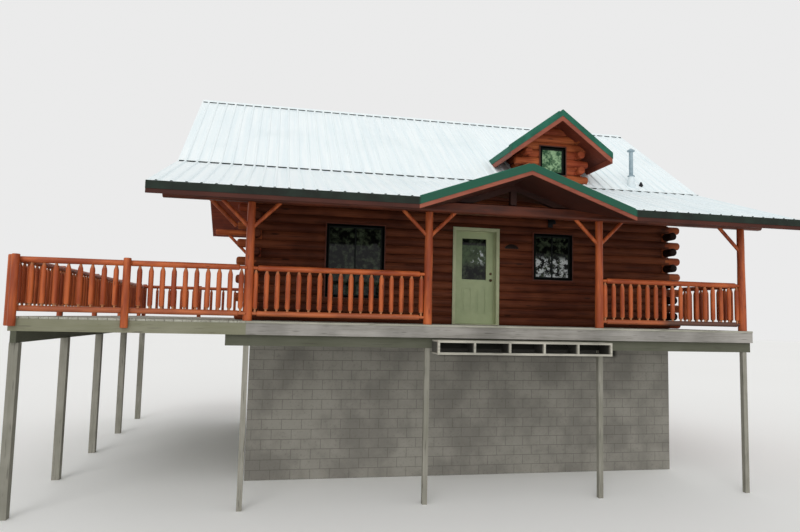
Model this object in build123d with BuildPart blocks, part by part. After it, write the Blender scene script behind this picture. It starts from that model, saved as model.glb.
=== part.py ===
"""Log cabin with a metal roof, a railed front porch and a raised side deck."""

import os
from math import asin, atan, ceil, copysign, cos, degrees, sin

from build123d import *

# Main levels and plan, measured from the first porch post on the deck
ground = -3200
roof_left = -1568
roof_right = 10348
deck_left = -3710
deck_front = -120
deck_rear = 9950
porch_right = 9950
platform_left = -10
platform_right = 9460
platform_front = 1947
platform_rear = 9160
platform_depth = 250
foundation_wall = 200

# Logs of the walls, flat inside and round outside
log_course = 185
log_depth = 150
log_bulge = 40
log_flats = 4
tail_length = 300
plate_course = 14
plate_inset = 110

# Roof lines, top surface of the metal
eave_y = -920
eave_z = 2172.5
break_y = 2020
break_z = 3208
ridge_z = 5709
rear_eave_y = 9650
roof_depth = 200
metal_depth = 15
cap_width = 150
cap_depth = 8
ridge_beam_width = 180
ridge_beam_depth = 240

# Entry gable in the porch roof
entry_x = 4850
entry_top = 2890

# Dormer
dormer_x = 6650
dormer_width = 1600
dormer_wall_y = 2100
dormer_top = 4870
dormer_front = 1600
dormer_reach = 1215
dormer_slope = 0.74
dormer_depth = 150
dormer_tail = 160
dormer_hole_rear = 3450

# Fascia boards and metal trim
board_thickness = 25
trim_thickness = 8
trim_height = 130

# Porch posts, beam and braces
post_stations = (0, 3215, 6646, 9820)
post_base_radius = 82
post_top_radius = 70
round_sides = 16
hardware_sides = 12
beam_bottom = 2080
beam_width = 170
beam_end_inset = 80
beam_rounding = 55
brace_leg = 420
brace_thickness = 75
overhang_brace_leg = 640
king_width = 120
truss_depth = 110

# Decks
board_depth = 38
rim_depth = 200
rim_thickness = 38
joist_pitch = 610
girder_depth = 190
girder_width = 90
girder_lap = 350
support_pitch = 2460
support_count = 5
support_width = 140
side_girder_inset = 45

# Railings
top_rail_z = 920
bottom_rail_z = 127
rail_radius = 50
rail_flat = 40
rail_sides = 12
baluster_radius = 45
baluster_sides = 6
baluster_pitch = 188
tip_length = 60
tip_radius = 14
rail_post_radius = 65
rail_post_flat = 45
rail_post_low = -160
rail_post_top = 1000
deck_front_post_x = -1960

# Steps hung from the porch girder
step_left = 3300
step_right = 6650
step_front = -470
step_top = -270
step_fall = 210
step_dividers = 6

# Windows
casing_cover = 70
casing_overlap = 15
casing_thickness = 22
log_clearance = 1
buck_width = 40
sash_width = 45
sash_thickness = 40
sash_setback = 40
glass_thickness = 6
wide_window = (1480, 2700, 520, 2050)
narrow_window = (6110, 7020, 1040, 2060)
dormer_window_width = 610
dormer_window_sill = 3500
dormer_window_head = 4140
side_window_width = 910
side_window_sill = 1040
side_window_head = 2060
gable_window_sill = 3450
gable_window_head = 4350

# Front door
door_left = 4300
door_width = 914
door_height = 2032
door_thickness = 45
door_gap = 5
latch_gap = 7
jamb = 45
threshold = 15
stop_depth = 15
stop_width = 30
light_width = 560
light_height = 910
light_rail = 150
light_glass = 12
bead_width = 25
bead_rise = 8
panel_gap = 110
panel_sill = 230
panel_height = 560
panel_recess = 9
panel_margin = 45
knob_inset = 70
knob_z = 985
bolt_z = 1130
hinge_offset = 8
hinge_radius = 7
hinge_height = 100
hinge_plate = 40
hinge_plate_thickness = 3
hinge_clearance = 0.3
hinge_levels = (200, 1000, 1800)
knob_steps = ((32, 32, 0, 8), (12, 12, 8, 34), (20, 28, 34, 44), (28, 20, 44, 64))
bolt_steps = ((30, 28, 0, 14),)

# Flue, vent and lamp
flue_x = 8770
flue_y = 2300
boot_radius = 75
boot_height = 230
collar_radius = 86
collar_depth = 30
flue_radius = 48
flue_height = 765
flue_cap_radius = 92
flue_cap_depth = 25
flue_cap_crown = 45
vent_x = 9050
vent_y = 2330
vent_radius = 58
vent_height = 95
vent_top_radius = 15
lamp_x = 6500
lamp_z = 2312
lamp_plate_width = 110
lamp_plate_height = 180
lamp_plate_depth = 25
lamp_arm = 75
lamp_arm_width = 24
lamp_radius = 62
lamp_top_radius = 35
lamp_height = 150
lamp_sides = 8

# Values worked out from the sizes above
roof_slope = (break_z - eave_z) / (break_y - eave_y)
ridge_y = (platform_front + platform_rear) / 2
main_slope = (ridge_z - break_z) / (ridge_y - break_y)
rear_eave_z = ridge_z - (rear_eave_y - ridge_y) * main_slope
entry_reach = (entry_top - eave_z) / roof_slope
entry_rear_y = eave_y + entry_reach
beam_top = eave_z - eave_y * roof_slope - roof_depth
wall_front = platform_front - log_bulge
wall_rear = platform_rear + log_bulge
wall_left = platform_left - log_bulge
wall_right = platform_right + log_bulge
inner_front = platform_front + log_depth
inner_rear = platform_rear - log_depth
inner_left = platform_left + log_depth
inner_right = platform_right - log_depth
tail_left = wall_left - tail_length
tail_right = wall_right + tail_length
wall_courses = ceil((break_z + roof_depth) / log_course)
gable_courses = ceil(ridge_z / log_course)
dormer_left = dormer_x - dormer_width / 2
dormer_right = dormer_x + dormer_width / 2
dormer_inner_left = dormer_left + log_bulge + log_depth
dormer_inner_right = dormer_right - log_bulge - log_depth
dormer_inner_y = dormer_wall_y + log_bulge + log_depth
dormer_eave_z = dormer_top - dormer_reach * dormer_slope
dormer_rear = break_y + (dormer_top - break_z) / main_slope
dormer_base = wall_courses * log_course - log_course
dormer_courses = ceil((dormer_top - dormer_base) / log_course)
leaf_right = door_left + door_width
leaf_low = threshold + door_gap
leaf_top = leaf_low + door_height
leaf_front = inner_front - door_thickness
frame_left = door_left - door_gap - jamb
frame_right = leaf_right + latch_gap + jamb
frame_top = leaf_top + door_gap + jamb
hinge_x = door_left - door_gap / 2
hinge_y = inner_front + hinge_offset
rim_top = -board_depth
rim_low = rim_top - rim_depth
girder_low = rim_low - girder_depth
left_end = deck_left - rail_post_flat - rail_post_radius
right_end = roof_right + board_thickness + trim_thickness
front_end = eave_y - board_thickness - trim_thickness
rear_end = deck_rear + rail_post_flat + rail_post_radius
middle_x = (left_end + right_end) / 2
middle_y = (front_end + rear_end) / 2

os.makedirs("parts", exist_ok=True)


def level(z):
    """Horizontal plane at height z, seen in plan."""
    return Plane((-middle_x, -middle_y, z - ground), x_dir=(1, 0, 0), z_dir=(0, 0, 1))


def across_y(y):
    """Upright plane facing the front, drawn in x and z."""
    return Plane((-middle_x, y - middle_y, -ground), x_dir=(1, 0, 0), z_dir=(0, -1, 0))


def across_x(x):
    """Upright plane facing the right, drawn in y and z."""
    return Plane((x - middle_x, -middle_y, -ground), x_dir=(0, 1, 0), z_dir=(1, 0, 0))


def wall_face(side):
    """Plane on the crest of a wall's logs, facing outwards."""
    if side == "front":
        return across_y(wall_front)
    if side == "rear":
        return Plane((-middle_x, wall_rear - middle_y, -ground), x_dir=(-1, 0, 0), z_dir=(0, 1, 0))
    if side == "left":
        return Plane((wall_left - middle_x, -middle_y, -ground), x_dir=(0, -1, 0), z_dir=(-1, 0, 0))
    return across_x(wall_right)


def prism(plane, outline, length, mode=Mode.ADD):
    """Closed outline of straight lines, carried along the plane's normal."""
    with BuildSketch(plane) as face:
        with BuildLine():
            Polyline(*outline, close=True)
        make_face()
    extrude(face.sketch, amount=length, mode=mode)


def along_x(outline, start, end, mode=Mode.ADD):
    prism(across_x(start), outline, end - start, mode)


def along_y(outline, start, end, mode=Mode.ADD):
    prism(across_y(end), outline, end - start, mode)


def upward(outline, low, high, mode=Mode.ADD):
    prism(level(low), outline, high - low, mode)


def block(x, y, z, mode=Mode.ADD):
    """Box between pairs of x, y and z values."""
    upward([(x[0], y[0]), (x[1], y[0]), (x[1], y[1]), (x[0], y[1])], z[0], z[1], mode)


def ring(plane, left, right, low, high, width, length):
    """Rectangular ring of one width inside the given limits."""
    centre = ((left + right) / 2, (low + high) / 2)
    with BuildSketch(plane) as face:
        with Locations(centre):
            Rectangle(right - left, high - low)
            Rectangle(right - left - 2 * width, high - low - 2 * width, mode=Mode.SUBTRACT)
    extrude(face.sketch, amount=length)


def band(top, depth):
    """Outline between a line of points and the same line lowered by depth."""
    return list(top) + [(a, z - depth) for a, z in reversed(top)]


def log_face(flat, bulge, low):
    """Points up a log's round face, which is an arc drawn as a few flats."""
    half = log_course / 2
    rise = abs(bulge)
    radius = (half**2 + rise**2) / (2 * rise)
    reach = asin(half / radius)
    for step in range(log_flats):
        angle = reach * (2 * step / log_flats - 1)
        out = radius * cos(angle) - radius + rise
        yield flat + copysign(out, bulge), low + half + radius * sin(angle)


def log_stack(plane, flat, bulge, base, courses, length):
    """Stack of logs with flat backs, its round faces towards the bulge."""
    back = flat - copysign(log_depth, bulge)
    top = base + courses * log_course
    outline = [(back, top), (back, base)]
    for course in range(courses):
        outline += log_face(flat, bulge, base + course * log_course)
    prism(plane, outline + [(flat, top)], length)


def courses_of(first, count, base=0):
    """Low and high of every second course, from the first one given."""
    for course in range(first, count, 2):
        yield base + course * log_course, base + (course + 1) * log_course


# The roof's top line from the front eave to the rear eave, in y and z
roof_line = ((eave_y, eave_z), (break_y, break_z), (ridge_y, ridge_z), (rear_eave_y, rear_eave_z))
main_front_line = roof_line[1:3]
main_rear_line = roof_line[2:4]
entry_line = ((entry_x - entry_reach, eave_z), (entry_x, entry_top), (entry_x + entry_reach, eave_z))
dormer_line = (
    (dormer_x - dormer_reach, dormer_eave_z),
    (dormer_x, dormer_top),
    (dormer_x + dormer_reach, dormer_eave_z),
)
eave_line = ((roof_left, eave_z),) + entry_line + ((roof_right, eave_z),)


def lowered(line, drop):
    return [(a, z - drop) for a, z in line]


def under_roof():
    """Keep only what is under the roof's lower surface."""
    outline = lowered(roof_line, roof_depth) + [(rear_eave_y, ground), (eave_y, ground)]
    along_x(outline, roof_left, roof_right, Mode.INTERSECT)


def over_roof(left, right):
    """Take away what is below the roof's top surface."""
    outline = list(roof_line) + [(rear_eave_y, ground), (eave_y, ground)]
    along_x(outline, left, right, Mode.SUBTRACT)


def under_dormer(front, rear):
    """Keep only what is under the dormer roof's lower surface."""
    low = [(dormer_x + dormer_reach, ground), (dormer_x - dormer_reach, ground)]
    along_y(lowered(dormer_line, dormer_depth) + low, front, rear, Mode.INTERSECT)


def stacked(plane, steps, sides, mode=Mode.ADD):
    """Round stretches one after another: radius, far radius, start and end of each."""
    for radius, far_radius, start, end in steps:
        with BuildSketch(plane.offset(start)) as section:
            RegularPolygon(radius, sides)
        slant = degrees(atan((radius - far_radius) / (end - start)))
        extrude(section.sketch, amount=end - start, taper=slant, mode=mode)


def post_shape(x, mode=Mode.ADD):
    """Log post that tapers from the deck to the beam."""
    foot = Plane((x - middle_x, -middle_y, -ground))
    stacked(foot, [(post_base_radius, post_top_radius, 0, beam_bottom)], round_sides, mode)


def railing(start, end):
    """Round rails with pointed balusters between two points of the plan."""
    run = Vector(end[0] - start[0], end[1] - start[1])
    length = run.length
    foot = Vector(start[0] - middle_x, start[1] - middle_y, -ground)
    turned = run.normalized().rotate(Axis.Z, 90)
    for height, side in ((bottom_rail_z, 1), (top_rail_z, -1)):
        section = Plane(foot + Vector(0, 0, height), x_dir=turned, z_dir=run)
        with BuildSketch(section) as rail:
            RegularPolygon(rail_radius, rail_sides)
            with Locations((0, side * rail_radius)):
                Rectangle(2 * rail_radius, 2 * (rail_radius - rail_flat), mode=Mode.SUBTRACT)
        extrude(rail.sketch, amount=length)
    count = round(length / baluster_pitch)
    pitch = length / count
    places = [(pitch * (place + 0.5), 0) for place in range(count)]
    low = bottom_rail_z + rail_flat
    high = top_rail_z - rail_flat
    with BuildSketch(Plane(foot + Vector(0, 0, low), x_dir=run, z_dir=(0, 0, 1))) as feet:
        with Locations(*places):
            RegularPolygon(baluster_radius, baluster_sides)
    extrude(feet.sketch, amount=high - tip_length - low)
    shoulder = Plane(foot + Vector(0, 0, high - tip_length), x_dir=run, z_dir=(0, 0, 1))
    with BuildSketch(shoulder) as tips:
        with Locations(*places):
            RegularPolygon(baluster_radius, baluster_sides)
    extrude(tips.sketch, amount=tip_length, taper=degrees(atan((baluster_radius - tip_radius) / tip_length)))


def window_unit(face, left, right, sill, head, panes):
    """Buck through the wall, casing in front of the logs and a sash with its bars."""
    wall = log_depth + log_bulge
    proud = log_clearance + casing_thickness
    ring(face.offset(-wall), left, right, sill, head, buck_width, wall + proud)
    ring(
        face.offset(log_clearance),
        left - casing_cover,
        right + casing_cover,
        sill - casing_cover,
        head + casing_cover,
        casing_cover + casing_overlap,
        casing_thickness,
    )
    sash = face.offset(-sash_setback - sash_thickness)
    ring(
        sash,
        left + buck_width,
        right - buck_width,
        sill + buck_width,
        head - buck_width,
        sash_width,
        sash_thickness,
    )
    for bar in range(1, panes):
        middle = left + (right - left) * bar / panes
        low = sill + buck_width
        high = head - buck_width
        half = sash_width / 2
        outline = [(middle - half, low), (middle + half, low), (middle + half, high), (middle - half, high)]
        prism(sash, outline, sash_thickness)


def window_panes(face, left, right, sill, head, panes):
    """Glass that fills each light of a window's sash."""
    edge = buck_width + sash_width
    plane = face.offset(-sash_setback - (sash_thickness + glass_thickness) / 2)
    for pane in range(panes):
        first = left + edge if pane == 0 else left + (right - left) * pane / panes + sash_width / 2
        last = right - edge
        if pane < panes - 1:
            last = left + (right - left) * (pane + 1) / panes - sash_width / 2
        outline = [(first, sill + edge), (last, sill + edge), (last, head - edge), (first, head - edge)]
        prism(plane, outline, glass_thickness)


def window_hole(face, left, right, sill, head, panes):
    """Opening cut right through a wall of logs."""
    outline = [(left, sill), (right, sill), (right, head), (left, head)]
    depth = log_depth + 2 * log_bulge
    prism(face.offset(-depth), outline, 2 * depth, Mode.SUBTRACT)


def centred(face, middle, width, sill, head, panes):
    return (face, middle - width / 2, middle + width / 2, sill, head, panes)


# Windows of each wall, in that wall's own drawing plane
room_depth = inner_rear - inner_front
third = room_depth / 3
front_left_window = (wall_face("front"),) + wide_window + (2,)
front_right_window = (wall_face("front"),) + narrow_window + (2,)
side_size = (side_window_width, side_window_sill, side_window_head, 2)
gable_size = (side_window_width, gable_window_sill, gable_window_head, 2)
left_openings = [
    centred(wall_face("left"), -(inner_front + third), *side_size),
    centred(wall_face("left"), -(inner_rear - third), *side_size),
    centred(wall_face("left"), -ridge_y, *gable_size),
]
right_openings = [
    centred(wall_face("right"), inner_front + third, *side_size),
    centred(wall_face("right"), inner_rear - third, *side_size),
    centred(wall_face("right"), ridge_y, *gable_size),
]
quarter = (inner_right - inner_left) / 4
rear_openings = [
    centred(wall_face("rear"), -(inner_left + quarter * place), *side_size) for place in (1, 2, 3)
]
dormer_face = across_y(dormer_wall_y)
dormer_opening = centred(dormer_face, dormer_x, dormer_window_width, dormer_window_sill, dormer_window_head, 1)

# Foundation walls and floor
with BuildPart() as foundation:
    block((platform_left, platform_right), (platform_front, platform_rear), (ground, -platform_depth))
    block(
        (platform_left + foundation_wall, platform_right - foundation_wall),
        (platform_front + foundation_wall, platform_rear - foundation_wall),
        (ground, -platform_depth),
        Mode.SUBTRACT,
    )
foundation.part.label = "foundation"

with BuildPart() as main_floor:
    block((platform_left, platform_right), (platform_front, platform_rear), (-platform_depth, 0))
main_floor.part.label = "main_floor"


# Log walls, whose logs pass each other at the corners in turn
def long_wall(flat, bulge, left, right):
    """Front or rear wall with its even logs carried past the side walls."""
    log_stack(across_x(left), flat, bulge, 0, wall_courses, right - left)


def notch_corners(face_y, back_y, left, right):
    """Cut the odd courses back to the inner faces of the side walls."""
    depth = (min(face_y, back_y), max(face_y, back_y))
    for low, high in courses_of(1, wall_courses):
        if left < inner_left:
            block((left, inner_left), depth, (low, high), Mode.SUBTRACT)
        if right > inner_right:
            block((inner_right, right), depth, (low, high), Mode.SUBTRACT)


def shorten_tails(face_y, back_y, left, right):
    """Cut the even courses to the tail's length, except the one that carries the overhang."""
    depth = (min(face_y, back_y), max(face_y, back_y))
    for course in range(0, wall_courses, 2):
        if course == plate_course:
            continue
        heights = (course * log_course, (course + 1) * log_course)
        if left < tail_left:
            block((left, tail_left), depth, heights, Mode.SUBTRACT)
        if right > tail_right:
            block((tail_right, right), depth, heights, Mode.SUBTRACT)


plate_left = roof_left + plate_inset
plate_right = roof_right - plate_inset

with BuildPart() as front_wall_left:
    long_wall(platform_front, -log_bulge, plate_left, frame_left)
    notch_corners(wall_front, inner_front, plate_left, frame_left)
    shorten_tails(wall_front, inner_front, plate_left, frame_left)
    window_hole(*front_left_window)
    under_roof()
front_wall_left.part.label = "front_wall_left"

with BuildPart() as front_wall_right:
    long_wall(platform_front, -log_bulge, frame_right, plate_right)
    notch_corners(wall_front, inner_front, frame_right, plate_right)
    shorten_tails(wall_front, inner_front, frame_right, plate_right)
    window_hole(*front_right_window)
    under_roof()
front_wall_right.part.label = "front_wall_right"

with BuildPart() as front_wall_head:
    long_wall(platform_front, -log_bulge, frame_left, frame_right)
    block((frame_left, frame_right), (wall_front, inner_front), (0, frame_top), Mode.SUBTRACT)
    under_roof()
front_wall_head.part.label = "front_wall_head"

with BuildPart() as rear_wall:
    long_wall(platform_rear, log_bulge, plate_left, plate_right)
    notch_corners(wall_rear, inner_rear, plate_left, plate_right)
    shorten_tails(wall_rear, inner_rear, plate_left, plate_right)
    for opening in rear_openings:
        window_hole(*opening)
    under_roof()
rear_wall.part.label = "rear_wall"


def side_wall(flat, bulge, back, openings):
    """Gable wall with its odd logs carried past the front and rear walls."""
    start = wall_front - tail_length
    end = wall_rear + tail_length
    log_stack(across_y(end), flat, bulge, 0, gable_courses, end - start)
    width = (min(flat + bulge, back), max(flat + bulge, back))
    for low, high in courses_of(0, gable_courses):
        block(width, (start, inner_front), (low, high), Mode.SUBTRACT)
        block(width, (inner_rear, end), (low, high), Mode.SUBTRACT)
    for opening in openings:
        window_hole(*opening)
    under_roof()
    half = ridge_beam_width / 2
    block(width, (ridge_y - half, ridge_y + half), (ridge_beam_low, ridge_z), Mode.SUBTRACT)


ridge_beam_top = ridge_z - roof_depth - main_slope * ridge_beam_width / 2
ridge_beam_low = ridge_beam_top - ridge_beam_depth

with BuildPart() as left_wall:
    side_wall(platform_left, -log_bulge, inner_left, left_openings)
left_wall.part.label = "left_wall"

with BuildPart() as right_wall:
    side_wall(platform_right, log_bulge, inner_right, right_openings)
right_wall.part.label = "right_wall"

with BuildPart() as ridge_beam:
    half = ridge_beam_width / 2
    block((plate_left, plate_right), (ridge_y - half, ridge_y + half), (ridge_beam_low, ridge_beam_top))
ridge_beam.part.label = "ridge_beam"


# Roof slabs under the metal
def dormer_hole(mode):
    block(
        (dormer_inner_left, dormer_inner_right),
        (dormer_inner_y, dormer_hole_rear),
        (break_z - roof_depth, ridge_z),
        mode,
    )


slab_depth = roof_depth - metal_depth
with BuildPart() as main_roof_front:
    along_x(band(lowered(main_front_line, metal_depth), slab_depth), roof_left, roof_right)
    dormer_hole(Mode.SUBTRACT)
main_roof_front.part.label = "main_roof_front"

with BuildPart() as main_roof_rear:
    along_x(band(lowered(main_rear_line, metal_depth), slab_depth), roof_left, roof_right)
main_roof_rear.part.label = "main_roof_rear"

porch_line = lowered(roof_line[0:2], metal_depth)
entry_plan = [(entry_x - entry_reach, eave_y), (entry_x + entry_reach, eave_y), (entry_x, entry_rear_y)]

with BuildPart() as porch_roof_left:
    along_x(band(porch_line, slab_depth), roof_left, entry_x)
    upward(entry_plan, beam_bottom - roof_depth, entry_top, Mode.SUBTRACT)
porch_roof_left.part.label = "porch_roof_left"

with BuildPart() as porch_roof_right:
    along_x(band(porch_line, slab_depth), entry_x, roof_right)
    upward(entry_plan, beam_bottom - roof_depth, entry_top, Mode.SUBTRACT)
porch_roof_right.part.label = "porch_roof_right"

with BuildPart() as entry_roof:
    along_y(band(lowered(entry_line, metal_depth), slab_depth), eave_y, entry_rear_y)
    upward(entry_plan, beam_bottom - roof_depth, entry_top, Mode.INTERSECT)
entry_roof.part.label = "entry_roof"

dormer_slab = dormer_depth - metal_depth
with BuildPart() as dormer_roof:
    along_y(band(lowered(dormer_line, metal_depth), dormer_slab), dormer_front, dormer_rear)
    over_roof(dormer_x - dormer_reach, dormer_x + dormer_reach)
dormer_roof.part.label = "dormer_roof"

# Sheet metal on the slabs
with BuildPart() as main_roof_metal:
    along_x(band(roof_line[1:4], metal_depth), roof_left, roof_right)
    dormer_hole(Mode.SUBTRACT)
main_roof_metal.part.label = "main_roof_metal"

with BuildPart() as entry_metal:
    along_y(band(entry_line, metal_depth), eave_y, entry_rear_y)
    upward(entry_plan, beam_bottom - roof_depth, entry_top, Mode.INTERSECT)

with BuildPart() as porch_roof_metal:
    along_x(band(roof_line[0:2], metal_depth), roof_left, roof_right)
    upward(entry_plan, beam_bottom - roof_depth, entry_top, Mode.SUBTRACT)
    add(entry_metal.part)
porch_roof_metal.part.label = "porch_roof_metal"

with BuildPart() as dormer_roof_metal:
    along_y(band(dormer_line, metal_depth), dormer_front, dormer_rear)
    over_roof(dormer_x - dormer_reach, dormer_x + dormer_reach)
dormer_roof_metal.part.label = "dormer_roof_metal"

with BuildPart() as ridge_cap:
    cap_line = (
        (ridge_y - cap_width, ridge_z - cap_width * main_slope + cap_depth),
        (ridge_y, ridge_z + cap_depth),
        (ridge_y + cap_width, ridge_z - cap_width * main_slope + cap_depth),
    )
    along_x(band(cap_line, cap_depth), roof_left, roof_right)
ridge_cap.part.label = "ridge_cap"

# Fascia boards, rake boards and the metal trim over them
board_left = roof_left - board_thickness
board_right = roof_right + board_thickness
board_front = eave_y - board_thickness
board_rear = rear_eave_y + board_thickness


def stretched(line, left, right):
    """The same line with its two end points moved out to left and right."""
    return [(left, line[0][1])] + list(line[1:-1]) + [(right, line[-1][1])]


with BuildPart() as eave_fascia:
    heights = (eave_z - roof_depth, eave_z)
    block((board_left, entry_line[0][0]), (board_front, eave_y), heights)
    block((entry_line[2][0], board_right), (board_front, eave_y), heights)
    block((board_left, board_right), (rear_eave_y, board_rear), (rear_eave_z - roof_depth, rear_eave_z))
eave_fascia.part.label = "eave_fascia"

with BuildPart() as entry_fascia:
    along_y(band(entry_line, roof_depth), board_front, eave_y)
entry_fascia.part.label = "entry_fascia"

with BuildPart() as rake_boards:
    along_x(band(roof_line, roof_depth), board_left, roof_left)
    along_x(band(roof_line, roof_depth), roof_right, board_right)
rake_boards.part.label = "rake_boards"

with BuildPart() as eave_trim:
    trim_line = stretched(eave_line, board_left, board_right)
    along_y(band(trim_line, trim_height), board_front - trim_thickness, board_front)
    block(
        (board_left, board_right),
        (board_rear, board_rear + trim_thickness),
        (rear_eave_z - trim_height, rear_eave_z),
    )
eave_trim.part.label = "eave_trim"

with BuildPart() as rake_trim:
    along_x(band(roof_line, trim_height), board_left - trim_thickness, board_left)
    along_x(band(roof_line, trim_height), board_right, board_right + trim_thickness)
rake_trim.part.label = "rake_trim"


# Dormer walls and boards
with BuildPart() as dormer_front_wall:
    start = dormer_left - dormer_tail
    end = dormer_right + dormer_tail
    flat = dormer_wall_y + log_bulge
    log_stack(across_x(start), flat, -log_bulge, dormer_base, dormer_courses, end - start)
    for low, high in courses_of(1, dormer_courses, dormer_base):
        depth = (dormer_wall_y, dormer_inner_y)
        block((start, dormer_inner_left), depth, (low, high), Mode.SUBTRACT)
        block((dormer_inner_right, end), depth, (low, high), Mode.SUBTRACT)
    window_hole(*dormer_opening)
    under_dormer(dormer_front, dormer_rear)
    over_roof(start, end)
dormer_front_wall.part.label = "dormer_front_wall"

with BuildPart() as dormer_side_walls:
    start = dormer_wall_y - dormer_tail
    length = dormer_rear - start
    left_flat = dormer_left + log_bulge
    right_flat = dormer_right - log_bulge
    log_stack(across_y(dormer_rear), left_flat, -log_bulge, dormer_base, dormer_courses, length)
    log_stack(across_y(dormer_rear), right_flat, log_bulge, dormer_base, dormer_courses, length)
    for low, high in courses_of(0, dormer_courses, dormer_base):
        depth = (start, dormer_inner_y)
        block((dormer_left, dormer_inner_left), depth, (low, high), Mode.SUBTRACT)
        block((dormer_inner_right, dormer_right), depth, (low, high), Mode.SUBTRACT)
    under_dormer(dormer_front, dormer_rear)
    over_roof(dormer_left, dormer_right)
dormer_side_walls.part.label = "dormer_side_walls"

dormer_board_front = dormer_front - board_thickness
with BuildPart() as dormer_fascia:
    along_y(band(dormer_line, dormer_depth), dormer_board_front, dormer_front)
dormer_fascia.part.label = "dormer_fascia"

with BuildPart() as dormer_trim:
    trim_front = dormer_board_front - trim_thickness
    dormer_trim_height = trim_height * dormer_depth / roof_depth
    along_y(band(dormer_line, dormer_trim_height), trim_front, dormer_board_front)
    reach = dormer_x - dormer_reach
    heights = (dormer_eave_z - dormer_trim_height, dormer_eave_z)
    block((reach - trim_thickness, reach), (trim_front, dormer_rear), heights)
    reach = dormer_x + dormer_reach
    block((reach, reach + trim_thickness), (trim_front, dormer_rear), heights)
    over_roof(dormer_x - dormer_reach - trim_thickness, dormer_x + dormer_reach + trim_thickness)
dormer_trim.part.label = "dormer_trim"

# Windows
with BuildPart() as front_windows:
    window_unit(*front_left_window)
    window_unit(*front_right_window)
front_windows.part.label = "front_windows"

with BuildPart() as dormer_window:
    window_unit(*dormer_opening)
dormer_window.part.label = "dormer_window"

with BuildPart() as side_windows:
    for opening in left_openings + right_openings:
        window_unit(*opening)
side_windows.part.label = "side_windows"

with BuildPart() as rear_windows:
    for opening in rear_openings:
        window_unit(*opening)
rear_windows.part.label = "rear_windows"

with BuildPart() as window_glass:
    for opening in [front_left_window, front_right_window, dormer_opening]:
        window_panes(*opening)
    for opening in left_openings + right_openings + rear_openings:
        window_panes(*opening)
window_glass.part.label = "window_glass"

# Front door, its frame and its hardware
hinge_third = hinge_height / 3


def barrel(low, high):
    """Stretch of a hinge's barrel round the pin."""
    foot = Plane((hinge_x - middle_x, hinge_y - middle_y, -ground))
    stacked(foot, [(hinge_radius, hinge_radius, low, high)], hardware_sides)


with BuildPart() as door_frame:
    front = wall_front - log_clearance - casing_thickness
    block((frame_left, frame_right), (front, inner_front), (0, frame_top))
    clear_left = frame_left + jamb
    clear_right = frame_right - jamb
    block((clear_left, clear_right), (front, inner_front), (threshold, frame_top - jamb), Mode.SUBTRACT)
    casing = (front, wall_front - log_clearance)
    block((frame_left - casing_cover, frame_left), casing, (0, frame_top + casing_cover))
    block((frame_right, frame_right + casing_cover), casing, (0, frame_top + casing_cover))
    block((frame_left, frame_right), casing, (frame_top, frame_top + casing_cover))
    stop = (leaf_front - door_gap - stop_width, leaf_front - door_gap)
    block((clear_left, clear_left + stop_depth), stop, (threshold, frame_top - jamb))
    block((clear_right - stop_depth, clear_right), stop, (threshold, frame_top - jamb))
    block((clear_left, clear_right), stop, (frame_top - jamb - stop_depth, frame_top - jamb))
door_frame.part.label = "door_frame"

with BuildPart() as frame_hinges:
    for hinge_level in hinge_levels:
        top = hinge_level + hinge_height
        plate = (inner_front, inner_front + hinge_plate_thickness)
        block((hinge_x - hinge_plate, hinge_x), plate, (hinge_level, hinge_level + hinge_third))
        block((hinge_x - hinge_plate, hinge_x), plate, (top - hinge_third, top))
        block((hinge_x - hinge_plate, hinge_x - hinge_radius), plate, (hinge_level, top))
        barrel(hinge_level, hinge_level + hinge_third)
        barrel(top - hinge_third, top)
frame_hinges.part.label = "frame_hinges"

with BuildPart() as door:
    leaf = (leaf_front, inner_front)
    block((door_left, leaf_right), leaf, (leaf_low, leaf_top))
    door_middle = (door_left + leaf_right) / 2
    light_left = door_middle - light_width / 2
    light_right = door_middle + light_width / 2
    light_top = leaf_top - light_rail
    light_low = light_top - light_height
    block((light_left, light_right), leaf, (light_low, light_top), Mode.SUBTRACT)
    panel_width = (light_width - panel_gap) / 2
    panel_low = leaf_low + panel_sill
    panel_top = panel_low + panel_height
    for panel_left in (light_left, light_right - panel_width):
        panel_right = panel_left + panel_width
        for face, inward in ((leaf_front, panel_recess), (inner_front - panel_recess, panel_recess)):
            depth = (face, face + inward)
            block((panel_left, panel_right), depth, (panel_low, panel_top), Mode.SUBTRACT)
            block(
                (panel_left + panel_margin, panel_right - panel_margin),
                depth,
                (panel_low + panel_margin, panel_top - panel_margin),
            )
    bead_plane = across_y(leaf_front)
    ring(
        bead_plane,
        light_left - bead_width,
        light_right + bead_width,
        light_low - bead_width,
        light_top + bead_width,
        bead_width,
        bead_rise,
    )
door.part.label = "door"

with BuildPart() as door_glass:
    middle = (leaf_front + inner_front) / 2
    glass = (middle - light_glass / 2, middle + light_glass / 2)
    block((light_left, light_right), glass, (light_low, light_top))
door_glass.part.label = "door_glass"


def turned_piece(height, steps):
    """Knob or lock on both faces of the door."""
    x = leaf_right - knob_inset - middle_x
    for y, outward in ((leaf_front, -1), (inner_front, 1)):
        face = Plane((x, y - middle_y, height - ground), x_dir=(1, 0, 0), z_dir=(0, outward, 0))
        stacked(face, steps, hardware_sides)


with BuildPart() as door_hardware:
    turned_piece(knob_z, knob_steps)
    turned_piece(bolt_z, bolt_steps)
    for hinge_level in hinge_levels:
        low = hinge_level + hinge_third + hinge_clearance
        high = hinge_level + 2 * hinge_third - hinge_clearance
        plate = (inner_front, inner_front + hinge_plate_thickness)
        block((hinge_x + hinge_radius, hinge_x + hinge_plate), plate, (hinge_level, hinge_level + hinge_height))
        block((hinge_x, hinge_x + hinge_plate), plate, (low, high))
        barrel(low, high)
door_hardware.part.label = "door_hardware"

# Porch deck and side deck
with BuildPart() as porch_deck:
    block((platform_left, porch_right), (deck_front, platform_front), (rim_top, 0))
porch_deck.part.label = "porch_deck"

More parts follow.
